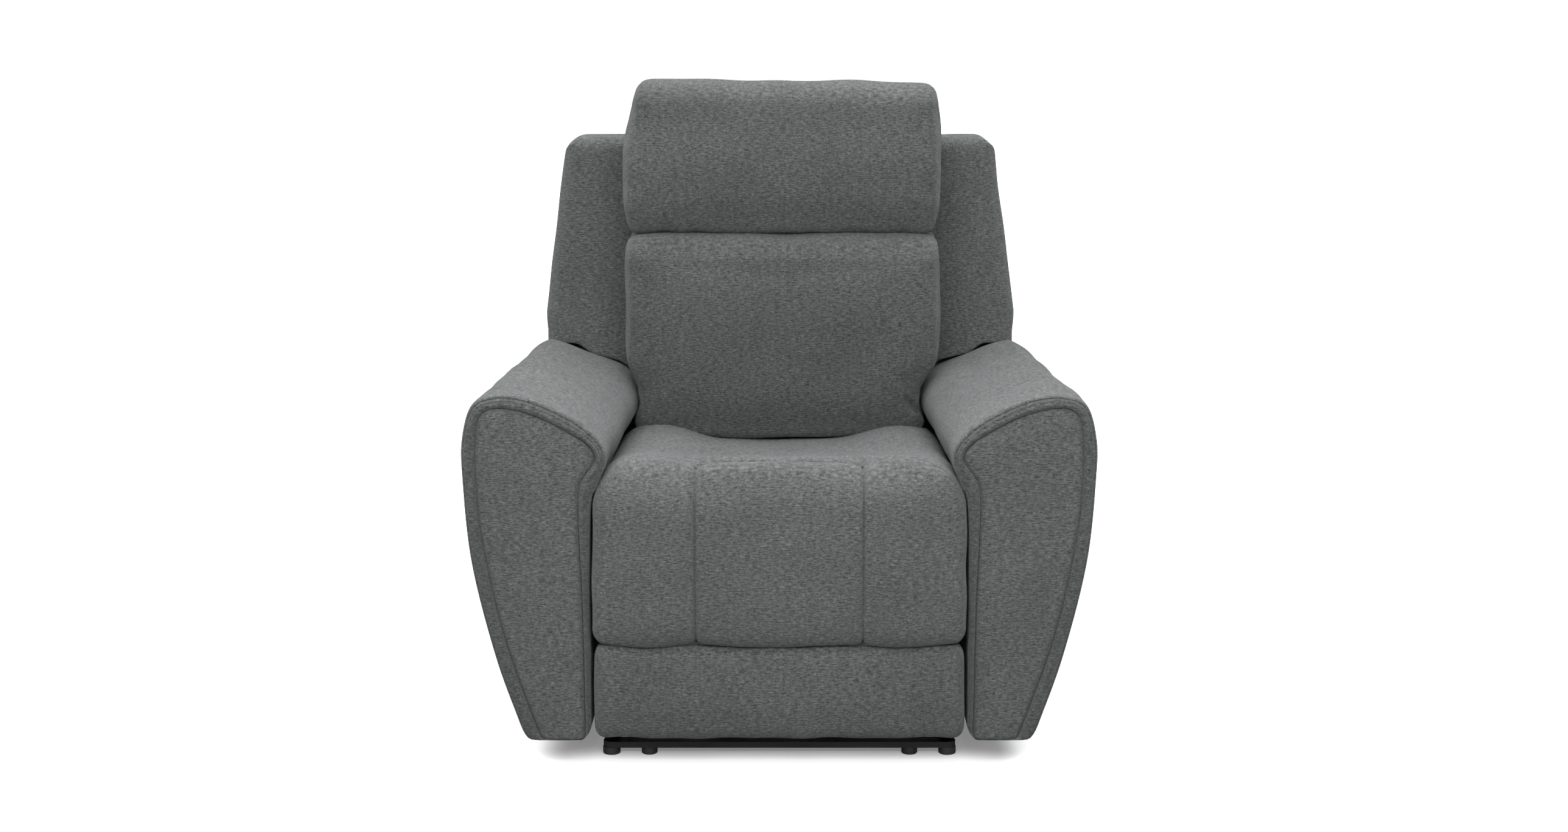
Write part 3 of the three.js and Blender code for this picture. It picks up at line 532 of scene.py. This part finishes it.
def lean_arm(x, y, z):
    """The roll leans in towards the seat and its outer edge comes in, more and more towards the rear."""
    depth = y - FRONT
    length = ARM_REAR - FRONT
    t = np.clip(depth / (length * 0.9), 0, 1) ** 1.25
    width = ARM_OUTER - ARM_INNER
    high = ramp(z, ARM_TOP - 0.120, ARM_TOP)
    inward = 0.040 * t * high * ramp(x, ARM_INNER + width / 2, ARM_OUTER - 0.020)
    inward = inward + 0.020 * t * ramp(z, ARM_TOP - 0.180, ARM_TOP - 0.110) * (
        1 - ramp(x, ARM_INNER - 0.010, ARM_INNER + 0.060))
    drop = 0.018 * ramp(depth, length - 0.090, length) * ramp(z, ARM_TOP - 0.060, ARM_TOP)
    drop = drop - 0.002 * bump(depth, 0.60, 0.10) * high
    return x - inward, z - drop


def arm_shell(side, name):
    """One skin: the arm's side and roll, the padded band round its front, and the fold at the inset panel."""
    outer = arm_curve(ARM_LINE, ARM_MARKS)
    inner = arm_curve(PANEL_LINE, PANEL_MARKS)
    foot = 12
    bottom = np.linspace(outer[-1], outer[0], foot + 2)[1:-1]
    bottom[:, 1] = ARM_BOTTOM
    bottom_in = np.linspace(inner[-1], inner[0], foot + 2)[1:-1]
    bottom_in[:, 1] = ARM_BOTTOM + 0.003
    outer = np.vstack([outer, bottom])
    inner = np.vstack([inner, bottom_in])
    centre = np.array([ARM_INNER + 0.43 * (ARM_OUTER - ARM_INNER), (ARM_TOP + ARM_BOTTOM) / 2])
    start, fold = 0.015, 0.019                            # where the band starts, and how deep its fold goes
    rings = []
    rear_round = 0.030
    for k in range(7):                                    # the rounded rear end
        angle = math.pi / 2 * k / 6
        shrink = rear_round * (1 - math.sin(angle))
        scale = 1 - shrink / np.linalg.norm(outer - centre, axis=1)
        flat = centre + (outer - centre) * scale[:, None]
        rings.append((flat, ARM_REAR - rear_round * (1 - math.cos(angle))))
    for depth in np.linspace(ARM_REAR - FRONT - rear_round - 0.014, start + 0.014, 46):
        rings.append((outer, FRONT + depth))
    width = np.linalg.norm(inner - outer, axis=1)
    for place in (0, 0.0008, 0.0022, 0.0040, 0.0055, 0.0064, 0.0073, 0.0088, 0.0105, 0.013):
        t = np.minimum(place / width, 0.5)[:, None]       # the front edge and the seam just inside it
        y = start - (start + 0.001) * math.sqrt(1 - (1 - min(place, 0.012) / 0.012) ** 2)
        y += 0.0032 * max(0.0, 1 - abs(place - 0.0064) / 0.0022)
        rings.append((outer + (inner - outer) * t, FRONT + y))
    for place in (0.013, 0.009, 0.006, 0.004, 0.0025, 0.0012, 0.0004, 0.0):
        t = 1 - np.minimum(place / width, 0.45)[:, None]  # the crown of the band and the fold at the panel
        y = fold - (fold + 0.004) * math.sqrt(1 - (1 - min(place, 0.009) / 0.009) ** 2)
        rings.append((outer + (inner - outer) * t, FRONT + y))
    points = []
    for flat, y in rings:
        x, z = lean_arm(flat[:, 0], np.full(len(flat), y), flat[:, 1])
        points.append(np.stack([side * x, np.full(len(x), y), z], axis=1))
    points = np.vstack(points)
    faces = ring_faces(len(rings), len(outer), MARK_COUNTS[0])
    if side > 0:
        faces = [tuple(reversed(f)) for f in faces]
    shell = make_mesh(name, points, faces)
    # soft unevenness of the padding, and a seam just outside the band
    co = vertices(shell)
    depth = co[:, 1] - FRONT
    swell = waves(co, 11 + int(side), 0.16) * 0.0016 * ramp(depth, 0.02, 0.10) * ramp(co[:, 2], 0.30, 0.45)
    co = co + normals(shell) * swell[:, None]
    if side < 0:                                          # the cover is tucked in round the control's bezel
        low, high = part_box("control_bezel")
        within = ramp(co[:, 1], low.y - 0.004, low.y) * (1 - ramp(co[:, 1], high.y, high.y + 0.004))
        within = within * ramp(co[:, 2], low.z - 0.004, low.z) * (1 - ramp(co[:, 2], high.z, high.z + 0.004))
        tucked = np.where(within < 0.01, -1.0, low.x + 0.0045 * within)
        outside = co[:, 0] < -ARM_INNER - 0.1
        co[:, 0] = np.where(outside, np.maximum(co[:, 0], tucked), co[:, 0])
    set_vertices(shell, co)
    subdivide(shell)
    return shell


def arm_panel(side, name):
    """The inset front panel: rows from foot to top between its two edges, full in the middle."""
    line = arm_curve(PANEL_LINE, PANEL_MARKS)
    top = int(np.argmax(line[:, 1]))
    out_edge, in_edge = line[:top + 1], line[top:][::-1]
    rows = np.concatenate([np.linspace(line[0, 1] - 0.001, line[top, 1] - 0.03, 62),
                           line[top, 1] - 0.03 * (1 - np.sin(np.linspace(0, math.pi / 2, 14)[1:]))])
    across = np.linspace(0, 1, 41)
    across = across - 0.26 * np.sin(2 * math.pi * across) / 2
    points = []
    for z in rows:
        x_out = np.interp(z, out_edge[:, 1], out_edge[:, 0])
        x_in = np.interp(z, in_edge[:, 1], in_edge[:, 0])
        width = abs(x_out - x_in)
        edge = np.minimum(across, 1 - across) * width
        edge = np.minimum(edge, (line[top, 1] - z) * 1.4)
        edge = np.maximum(edge, 0)
        full = np.sqrt(np.clip(1 - (1 - np.clip(edge / 0.009, 0, 1)) ** 2, 0, 1))
        crown = np.clip(edge / 0.07, 0, 1)
        y = FRONT + 0.019 - 0.018 * full - 0.004 * ramp(crown, 0, 1)
        x = side * (x_out + (x_in - x_out) * across)
        points.append(np.stack([x, y, np.full(len(across), z)], axis=1))
    panel = make_mesh(name, np.vstack(points), grid_faces(len(rows), len(across), side < 0))
    co = vertices(panel)
    co[:, 1] -= waves(co, 21 + int(side), 0.13) * 0.0009
    set_vertices(panel, co)
    thicken(panel, 0.003)
    return panel


def build_arms():
    for name, side in (("left", -1), ("right", 1)):
        shell = arm_shell(side, f"arm_upholstery_{name}")
        dress(shell, FABRIC)
        second_material(shell, BAND_FABRIC, lambda c: c[:, 1] < FRONT + 0.006)
        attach(shell, "chair")
        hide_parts(f"arm_cover_{name}")
        panel = arm_panel(side, f"arm_inset_{name}")
        dress(panel, FABRIC)
        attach(panel, "chair")
        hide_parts(f"arm_front_panel_{name}")


# ------------------------------------------------------------------ seat and chaise pad, one cover

SEAM_X = 0.133
TUCK_DEPTH = 0.052                # the tuck seam, behind the arm fronts


def seat_line():
    """The outer surface from the rear of the seat, over the crest and down the chaise, as (depth, z)."""
    pivot_depth = LEGREST_PIVOT[1] - FRONT
    crest = 0.072
    points = [(0.598, 0.436), (0.560, 0.443), (0.480, 0.448), (0.380, 0.455), (0.280, 0.463), (0.180, 0.474),
              (0.110, 0.485), (pivot_depth + 0.002, SEAT_HEIGHT + 0.001)]
    for angle in (20, 42, 64, 84):
        a = math.radians(angle)
        points.append((pivot_depth - crest * math.sin(a) - 0.002, 0.421 + (crest - 0.002) * math.cos(a)))
    points += [(-0.0205, 0.385), (-0.0225, 0.330), (-0.0225, 0.270), (-0.019, 0.228), (-0.010, 0.211),
               (0.006, 0.2065)]
    return spline(points, 30)


def seat_cover():
    dense = seat_line()
    length = np.concatenate([[0], np.cumsum(np.linalg.norm(np.diff(dense, axis=0), axis=1))])
    tuck_at = length[np.argmin(np.abs(dense[:, 0] - TUCK_DEPTH) + (dense[:, 1] < 0.47))]
    stations = spaced(0.0, length[-1], 0.009, [tuck_at])
    centre = np.stack([np.interp(stations, length, dense[:, k]) for k in range(2)], axis=1)
    tangent = np.gradient(centre, stations, axis=0)
    tangent /= np.linalg.norm(tangent, axis=1)[:, None]
    outward = np.stack([tangent[:, 1], -tangent[:, 0]], axis=1)
    end = length[-1]
    width_at = np.interp(stations, [0, end * 0.45, tuck_at, tuck_at + 0.10, end - 0.02, end],
                         [0.293, 0.293, 0.291, 0.2965, 0.2975, 0.294])
    corner_marks = [0, tuck_at - 0.08, tuck_at - 0.02, tuck_at + 0.10, end]
    corner_x = np.interp(stations, corner_marks, [0.045, 0.056, 0.066, 0.034, 0.014])
    corner_d = np.interp(stations, corner_marks, [0.030, 0.040, 0.054, 0.034, 0.022])
    thick = np.interp(stations, [0, tuck_at - 0.12, tuck_at, tuck_at + 0.10, end],
                      [0.036, 0.058, 0.062, 0.060, 0.055])
    steady, reference = 0.160, 0.250
    template = spaced(-reference, reference, 0.011, [-SEAM_X, SEAM_X])
    rings = []
    for k in range(len(stations)):
        w, a, d, h = width_at[k], corner_x[k], corner_d[k], thick[k]
        beyond = np.clip(np.abs(template) - steady, 0, None) / (reference - steady) * (w - a - steady)
        flat = np.sign(template) * (np.minimum(np.abs(template), steady) + beyond)
        d = min(d, h - 0.006)
        angles = np.linspace(0, math.pi / 2, 9)[1:]
        right = [(w - a + a * math.sin(t), d * (1 - math.cos(t))) for t in angles]
        right += [(w - 0.001, (d + h) / 2), (w - 0.004, h - 0.003), (w - 0.012, h)]
        left = [(-x, y) for x, y in right][::-1]
        under = [(x, h) for x in np.linspace(w - 0.03, -(w - 0.03), 16)]
        section = [(x, 0.0) for x in flat] + right + under + left
        rings.append((section, k))
    count = len(rings[0][0])
    points = []
    for section, k in rings:
        s = np.array(section)
        x, depth_in = s[:, 0], s[:, 1]
        at = stations[k]
        outer = 1 - np.clip(depth_in / 0.05, 0, 1)
        rear = 1 - ramp(np.array([at]), 0.0, tuck_at)[0]
        past = at - tuck_at
        on_seat = 1 - ramp(np.array([past]), -0.03, 0.05)[0]
        side_puff = (0.006 + 0.018 * rear) * bump(np.abs(x), 0.215, 0.115) * (0.25 + 0.75 * on_seat)
        middle_dip = -0.004 * rear * bump(x, 0.0, 0.14)
        groove = 0.0055 * bump(np.abs(x), SEAM_X, 0.0032) + 0.0022 * bump(np.abs(x), SEAM_X, 0.011)
        seams = -groove * ramp(np.array([past]), -0.004, 0.008)[0]
        pillow = 0.006 * (1 - (x / 0.30) ** 2) * ramp(np.array([past]), 0.0, 0.10)[0]
        channel = 0.0045 * (bump(x, 0.0, SEAM_X) + bump(np.abs(x), 0.215, 0.085)) * ramp(
            np.array([past]), 0.0, 0.05)[0]
        tuck = -(0.0075 * bump(past, 0.0, 0.0034) + 0.007 * bump(past, 0.0, 0.014)) * (
            1 - ramp(np.abs(x), SEAM_X - 0.006, SEAM_X + 0.008))
        puff_after = 0.005 * bump(past, 0.040, 0.045) * (1 - ramp(np.abs(x), SEAM_X - 0.03, SEAM_X))
        puff_before = 0.004 * bump(past, -0.045, 0.045) * (1 - ramp(np.abs(x), SEAM_X - 0.03, SEAM_X + 0.05))
        dimple = -0.007 * sum(bump(np.hypot(x - sx, past + 0.010), 0.0, 0.045) for sx in (-SEAM_X, SEAM_X))
        lift = outer * (side_puff + middle_dip + seams + pillow + channel + tuck + puff_after + puff_before
                        + dimple)
        y = FRONT + centre[k, 0] + outward[k, 0] * (lift - depth_in)
        z = centre[k, 1] + outward[k, 1] * (lift - depth_in)
        points.append(np.stack([x, y, z], axis=1))
    points = np.vstack(points)
    faces = ring_faces(len(rings), count, len(template) // 2)
    return make_mesh("seat_and_chaise_cover", points, faces)


def build_seat():
    cover = seat_cover()
    co = vertices(cover)
    depth = co[:, 1] - FRONT
    # creases that fan out from the two ends of the tuck
    crease = np.zeros(len(co))
    for sx, spread in ((SEAM_X, 1.0), (-SEAM_X, 0.55)):
        dx, dy = (co[:, 0] - sx) * np.sign(sx), depth - TUCK_DEPTH
        away = np.hypot(dx, dy)
        angle = np.arctan2(dy, dx)
        fan = np.sin(angle * 7.0 + 0.6) * bump(away, 0.045, 0.055) * (angle > -0.5) * (angle < 1.6)
        crease += spread * 0.0024 * fan
    ripple = waves(co, 5, 0.11) * 0.0011
    set_vertices(cover, co + normals(cover) * (crease + ripple)[:, None])
    subdivide(cover)
    dress(cover, FABRIC)
    # the faces along the two seams below the tuck take the darker copy: painted shade in the seam grooves
    second_material(cover, SEAM_SHADE_FABRIC, lambda c: (np.abs(np.abs(c[:, 0]) - SEAM_X) < 0.0012)
                    & (c[:, 1] < FRONT + TUCK_DEPTH - 0.001))
    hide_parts("seat_cushion", "chaise_pad")
    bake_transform(cover)


def build_footrest():
    low, high = FOOT
    pad = rounded_box("footrest_cover", (low.x + 0.002, low.y + 0.006, low.z - 0.006),
                      (high.x - 0.002, high.y, high.z - 0.001), (0.020, 0.024, 0.020))
    co = vertices(pad)
    u = co[:, 0] / high.x
    v = (co[:, 2] - (low.z + high.z) / 2) / ((high.z - low.z) / 2)
    front = 1 - ramp(co[:, 1], low.y + 0.010, high.y)
    co[:, 1] -= front * 0.008 * (1 - np.abs(u) ** 4) * (1 - v ** 2)
    co[:, 1] += 0.004 * front * ramp(-v, 0.2, 1.0)
    co[:, 2] += 0.004 * np.abs(u) ** 3 * ramp(v, 0.3, 1.0)
    co += normals(pad) * (waves(co, 31, 0.12) * 0.0012)[:, None]
    set_vertices(pad, co)
    subdivide(pad)
    dress(pad, FABRIC)
    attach(pad, "legrest")
    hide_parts("footrest_pad")


# ------------------------------------------------------------------ back cushions

SWELL = 0.0045                    # the furthest the cloth solver may move a cushion's cover


def cushion(name, low, high, radius, shape, rear_plane, cap, seed):
    """A boxed cushion: rounded block, shaped, blown up by the cloth solver, then creased at its seams."""
    piece = rounded_box(name, low, high, radius)
    set_vertices(piece, shape(vertices(piece)))
    inflate(piece, cap, lambda p: ramp(p[:, 1] - rear_plane(p[:, 2]), -0.035, -0.006))
    co = vertices(piece)
    co += normals(piece) * (waves(co, seed, 0.12) * 0.0013)[:, None]
    co[:, 1] = np.minimum(co[:, 1], rear_plane(co[:, 2]) - 0.001)
    set_vertices(piece, co)
    return piece


def build_lumbar():
    low, high = LUMBAR
    middle = (low.z + high.z) / 2

    def shape(co):
        z = co[:, 2]
        v = (z - middle) / (high.z - middle)
        half = 0.253 + 0.0275 * ramp(z, 0.520, 0.590) + 0.011 * (1 - ramp(z, 0.455, 0.500))
        u = co[:, 0] / (high.x - 0.004)
        co[:, 0] = u * half + 0.0045 * ramp(z, 0.520, 0.590)
        face = low.y + 0.010 + 0.014 * ramp(v, 0.1, 0.9) + 0.034 * ramp(v, 0.78, 1.05)
        face = face + 0.016 * ramp(-v, 0.5, 1.1)
        face = face + 0.020 * np.abs(u) ** 3
        rear = back_front_y(z) - 0.001
        t = (co[:, 1] - low.y) / (high.y - low.y)
        co[:, 1] = face + (rear - face) * np.clip(t, 0, 1)
        co[:, 2] += 0.012 * np.abs(u) ** 2 * ramp(-v, 0.5, 1.0)
        return co

    piece = cushion("lumbar_pillow", (low.x + 0.004, low.y, low.z - 0.013), (high.x - 0.004, high.y, high.z),
                    (0.014, 0.034, 0.014), shape, back_front_y, SWELL, 41)
    co = vertices(piece)
    # a tuck at the lower right corner
    dx, dz = co[:, 0] - 0.240, co[:, 2] - 0.500
    along = (dx * 0.62 - dz * 0.78)
    off = (dx * 0.78 + dz * 0.62)
    fold = 0.008 * bump(off, 0.0, 0.009) * bump(along, 0.0, 0.036) * (co[:, 1] < low.y + 0.10)
    set_vertices(piece, co - normals(piece) * fold[:, None])
    dress(piece, FABRIC)
    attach(piece, "backrest")
    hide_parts("lumbar_cushion")


def build_head():
    low, high = HEAD

    def shape(co):
        z = co[:, 2]
        v = (z - low.z) / (high.z - low.z)
        left = 0.281 - 0.024 * ramp(v, 0.50, 1.0) - 0.007 * ramp(-v, -0.2, 0.0)
        right = 0.287 - 0.005 * ramp(v, 0.6, 1.0) - 0.007 * ramp(-v, -0.2, 0.0)
        u = co[:, 0] / (high.x - 0.004)
        co[:, 0] = np.where(u < 0, u * left, u * right)
        face = low.y + 0.006 + 0.014 * ramp(-v, -0.22, 0.0) + 0.024 * ramp(v, 0.40, 0.88)
        face = face + 0.036 * ramp(v, 0.86, 1.02)
        face = face + 0.012 * np.abs(u) ** 3
        rear = np.minimum(back_front_y(z), back_front_y(0.955)) - 0.001
        rear = rear - 0.035 * ramp(v, 0.62, 1.0)
        t = np.clip((co[:, 1] - low.y) / (high.y - low.y), 0, 1)
        co[:, 1] = face + (rear - face) * t
        co[:, 2] -= 0.005 * ramp(u, -1.0, 1.0) * ramp(v, 0.6, 1.0)
        return co

    piece = cushion("head_pillow", (low.x + 0.004, low.y, low.z - 0.002),
                    (high.x - 0.004, high.y, high.z - 0.002), (0.015, 0.034, 0.015), shape,
                    lambda z: back_front_y(np.minimum(z, 0.97)), SWELL, 43)
    co = vertices(piece)
    pucker = np.zeros(len(co))
    for x, depth in ((-0.205, 0.004), (-0.150, 0.003), (0.215, 0.003), (0.060, 0.002)):
        pucker += depth * bump(np.hypot(co[:, 0] - x, (co[:, 2] - low.z) * 0.8), 0.0, 0.030)
    set_vertices(piece, co - normals(piece) * pucker[:, None])
    dress(piece, FABRIC)
    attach(piece, "backrest")
    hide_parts("head_cushion")


# ------------------------------------------------------------------ back

def build_back():
    low, high = BACK
    top = high.z
    foot = 0.560
    unit, faces = box_lattice((84, 24, 42))
    z = foot + unit[:, 2] * (top - foot)
    half = np.interp(z, [foot, 0.617, 0.640, 0.700, 0.948, top], [0.428, 0.434, 0.435, 0.429, 0.402, 0.396])
    corner = 0.026
    front = back_front_y(z)
    rear = back_rear_y(np.minimum(z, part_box("back_rear_panel")[1].z)) - 0.004
    u = unit[:, 0] * 2 - 1
    d = unit[:, 1]
    # rounding in plan and in elevation
    x_edge = half * np.abs(u)
    inset = np.clip((x_edge - (half - corner)) / corner, 0, 1)
    rise = np.clip((z - (top - corner)) / corner, 0, 1)
    length = np.maximum(1.0, np.sqrt(inset ** 2 + rise ** 2))
    x = np.sign(u) * ((half - corner) * np.clip(x_edge / (half - corner), 0, 1) + corner * inset / length)
    z_round = np.where(z > top - corner, top - corner + corner * rise / length, z)
    edge = np.maximum(inset / length, rise / length)
    y = front + (rear - front) * d
    soft = 0.022
    y += np.where(d < 0.5, 1, -1) * soft * (1 - np.sqrt(np.clip(1 - edge ** 2, 0, 1))) * (np.abs(d - 0.5) * 2)
    # the wings' underside follows the arms: an arc about the back's pivot, then down behind them
    pivot = joint("recline")["pos_m"]
    swing = np.interp(np.abs(x), WING_REACH, WING_SWING)
    under = pivot[2] + np.sqrt(np.clip(swing ** 2 - (y - pivot[1]) ** 2, 0, None))
    under -= (under - WING_FOOT) * ramp(y, ARM_REAR + 0.004, ARM_REAR + 0.012)
    t = np.clip((z_round - foot) / 0.14, 0, 1)
    z_round = np.where(t < 1, under + (foot + 0.14 - under) * t, z_round)
    co = np.stack([x, y, z_round], axis=1)
    back = make_mesh("back_upholstery", co, faces)
    co = vertices(back)
    half_here = np.interp(co[:, 2], [0.617, 0.640, 0.700, 0.948], [0.434, 0.435, 0.429, 0.402])
    front_here = np.clip((back_front_y(co[:, 2]) + 0.06 - co[:, 1]) / 0.03, 0, 1)
    side_seam = 0.0035 * bump(np.abs(co[:, 0]), half_here - 0.013, 0.007) * front_here
    ripple = waves(co, 51, 0.15) * 0.0012
    set_vertices(back, co + normals(back) * (ripple - side_seam)[:, None])
    subdivide(back)
    dress(back, FABRIC)
    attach(back, "backrest")
    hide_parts("back_cover")
    stem_low, stem_high = low.z + 0.002, 0.640
    stem = rounded_box("back_stem_cover", (-0.236, 0, stem_low), (0.236, 1, stem_high),
                       (0.02, 0.12, 0.012), 0.03)
    co = vertices(stem)
    front = back_front_y(co[:, 2]) + 0.002
    rear = back_rear_y(co[:, 2]) - 0.006
    co[:, 1] = front + (rear - front) * co[:, 1]
    set_vertices(stem, co)
    subdivide(stem)
    dress(stem, FABRIC)
    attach(stem, "backrest")


def build_rear_panel():
    low, high = REAR_PANEL
    rows = np.linspace(low.z + 0.004, high.z - 0.002, 70)
    across = np.linspace(-1, 1, 65)
    flare_low, flare_high = 0.350, 0.372
    points = []
    for z in rows:
        half = 0.232 + (high.x - 0.232) * float(ramp(np.array([z]), flare_low, flare_high)[0])
        half -= 0.018 * float(ramp(np.array([z]), 0.60, high.z)[0])
        x = across * half
        edge = np.minimum((1 - np.abs(across)) * half, min(z - low.z, high.z - z))
        pad = 0.007 * np.sqrt(np.clip(1 - (1 - np.clip(edge / 0.03, 0, 1)) ** 2, 0, 1))
        y = back_rear_y(z) - 0.007 + pad
        points.append(np.stack([x, y, np.full(len(x), z)], axis=1))
    panel = make_mesh("rear_panel_cover", np.vstack(points), grid_faces(len(rows), len(across), True))
    co = vertices(panel)
    co[:, 1] += waves(co, 61, 0.2) * 0.0012
    set_vertices(panel, co)
    thicken(panel, 0.004)
    dress(panel, FABRIC)
    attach(panel, "backrest")
    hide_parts("back_rear_panel")


def build_skirt():
    low, high = SKIRT
    skirt = rounded_box("rear_skirt_cover", low, high, (0.006, 0.0045, 0.006), step=0.012)
    co = vertices(skirt)
    v = (co[:, 2] - low.z) / (high.z - low.z)
    co[:, 1] += 0.0015 * np.sin(co[:, 0] * 34) * (1 - v) + waves(co, 71, 0.1) * 0.0008
    set_vertices(skirt, co)
    subdivide(skirt)
    dress(skirt, FABRIC)
    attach(skirt, "chair")
    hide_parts("rear_skirt")


# ------------------------------------------------------------------ carried-over CAD nodes

def dress_frame():
    slots = {"plywood": WOOD, "black_steel": BLACK_STEEL, "zinc_steel": ZINC, "black_plastic": PLASTIC,
             "fabric": FABRIC}
    for entry in frame["record"]["subparts"]:
        node = frame["nodes"][entry["node"]]
        node.data.materials.clear()
        node.data.materials.append(slots[entry["material_slot"]])


# ------------------------------------------------------------------ camera, floor and light

CAMERA_DISTANCE = 3.66            # in front of the arm fronts
CAMERA_HEIGHT = 1.185
CAMERA_ASIDE = 0.0075
CAMERA_PITCH = 9.5
CAMERA_LENS = 54.32
WORLD_LIGHT = 0.40
WORLD_SEEN = 1.05                 # what the camera sees behind the chair
SUN_LIGHT = 5.8
SUN_ANGLE = 95                    # degrees across, so its shadows are very soft
SUN_TILT = (-15, -3)              # degrees about X and Y, from straight down
FILL_LIGHT = 108.0
FILL_PLACE = (0.0, -2.6, 1.8)
FILL_AIM = (0, 0.15, 1.0)


def build_stage():
    data = bpy.data.cameras.new("camera")
    data.sensor_width = 36.0
    data.lens = CAMERA_LENS
    camera = bpy.data.objects.new("camera", data)
    camera.location = (CAMERA_ASIDE, FRONT - CAMERA_DISTANCE, CAMERA_HEIGHT)
    camera.rotation_euler = (math.radians(90 - CAMERA_PITCH), 0, 0)
    bpy.context.scene.collection.objects.link(camera)
    bpy.context.scene.camera = camera

    bpy.ops.mesh.primitive_plane_add(size=60, location=(0, 0, 0))
    floor = bpy.context.object
    floor.name = "floor"
    n = Nodes("pale_floor")
    seen = n.add("ShaderNodeLightPath").outputs["Is Camera Ray"]
    pale = n.mix(seen, (0.30, 0.30, 0.30, 1), (0.95, 0.95, 0.95, 1))
    glow = n.spread(seen, 0.0, 1.0, 0.0, 0.20)
    floor.data.materials.append(n.finish(n.add("ShaderNodeBsdfPrincipled", {
        "Base Color": pale, "Roughness": 0.9, "Specular IOR Level": 0.1,
        "Emission Color": (1, 1, 1, 1), "Emission Strength": glow})))

    world = bpy.data.worlds.new("studio")
    bpy.context.scene.world = world
    world.use_nodes = True
    nodes, links = world.node_tree.nodes, world.node_tree.links
    background = nodes["Background"]
    path = nodes.new("ShaderNodeLightPath")
    strength = nodes.new("ShaderNodeMapRange")
    strength.inputs[3].default_value = WORLD_LIGHT
    strength.inputs[4].default_value = WORLD_SEEN
    links.new(path.outputs["Is Camera Ray"], strength.inputs[0])
    links.new(strength.outputs[0], background.inputs[1])
    background.inputs[0].default_value = (1, 1, 1, 1)

    sun = bpy.data.lights.new("overhead", "SUN")
    sun.energy = SUN_LIGHT
    sun.angle = math.radians(SUN_ANGLE)
    lamp = bpy.data.objects.new("overhead", sun)
    lamp.rotation_euler = (math.radians(SUN_TILT[0]), math.radians(SUN_TILT[1]), 0)
    bpy.context.scene.collection.objects.link(lamp)
    panel = bpy.data.lights.new("front_fill", "AREA")
    panel.shape = "RECTANGLE"
    panel.size, panel.size_y = 2.4, 1.4
    panel.energy = FILL_LIGHT
    fill = bpy.data.objects.new("front_fill", panel)
    fill.location = FILL_PLACE
    fill.rotation_euler = (Vector(FILL_AIM) - fill.location).to_track_quat("-Z", "Y").to_euler()
    bpy.context.scene.collection.objects.link(fill)
    bpy.context.scene.view_settings.view_transform = "Standard"


# ------------------------------------------------------------------ the chair

build_stage()
dress_frame()
build_arms()
build_seat()
build_footrest()
build_lumbar()
build_head()
build_back()
build_rear_panel()
build_skirt()
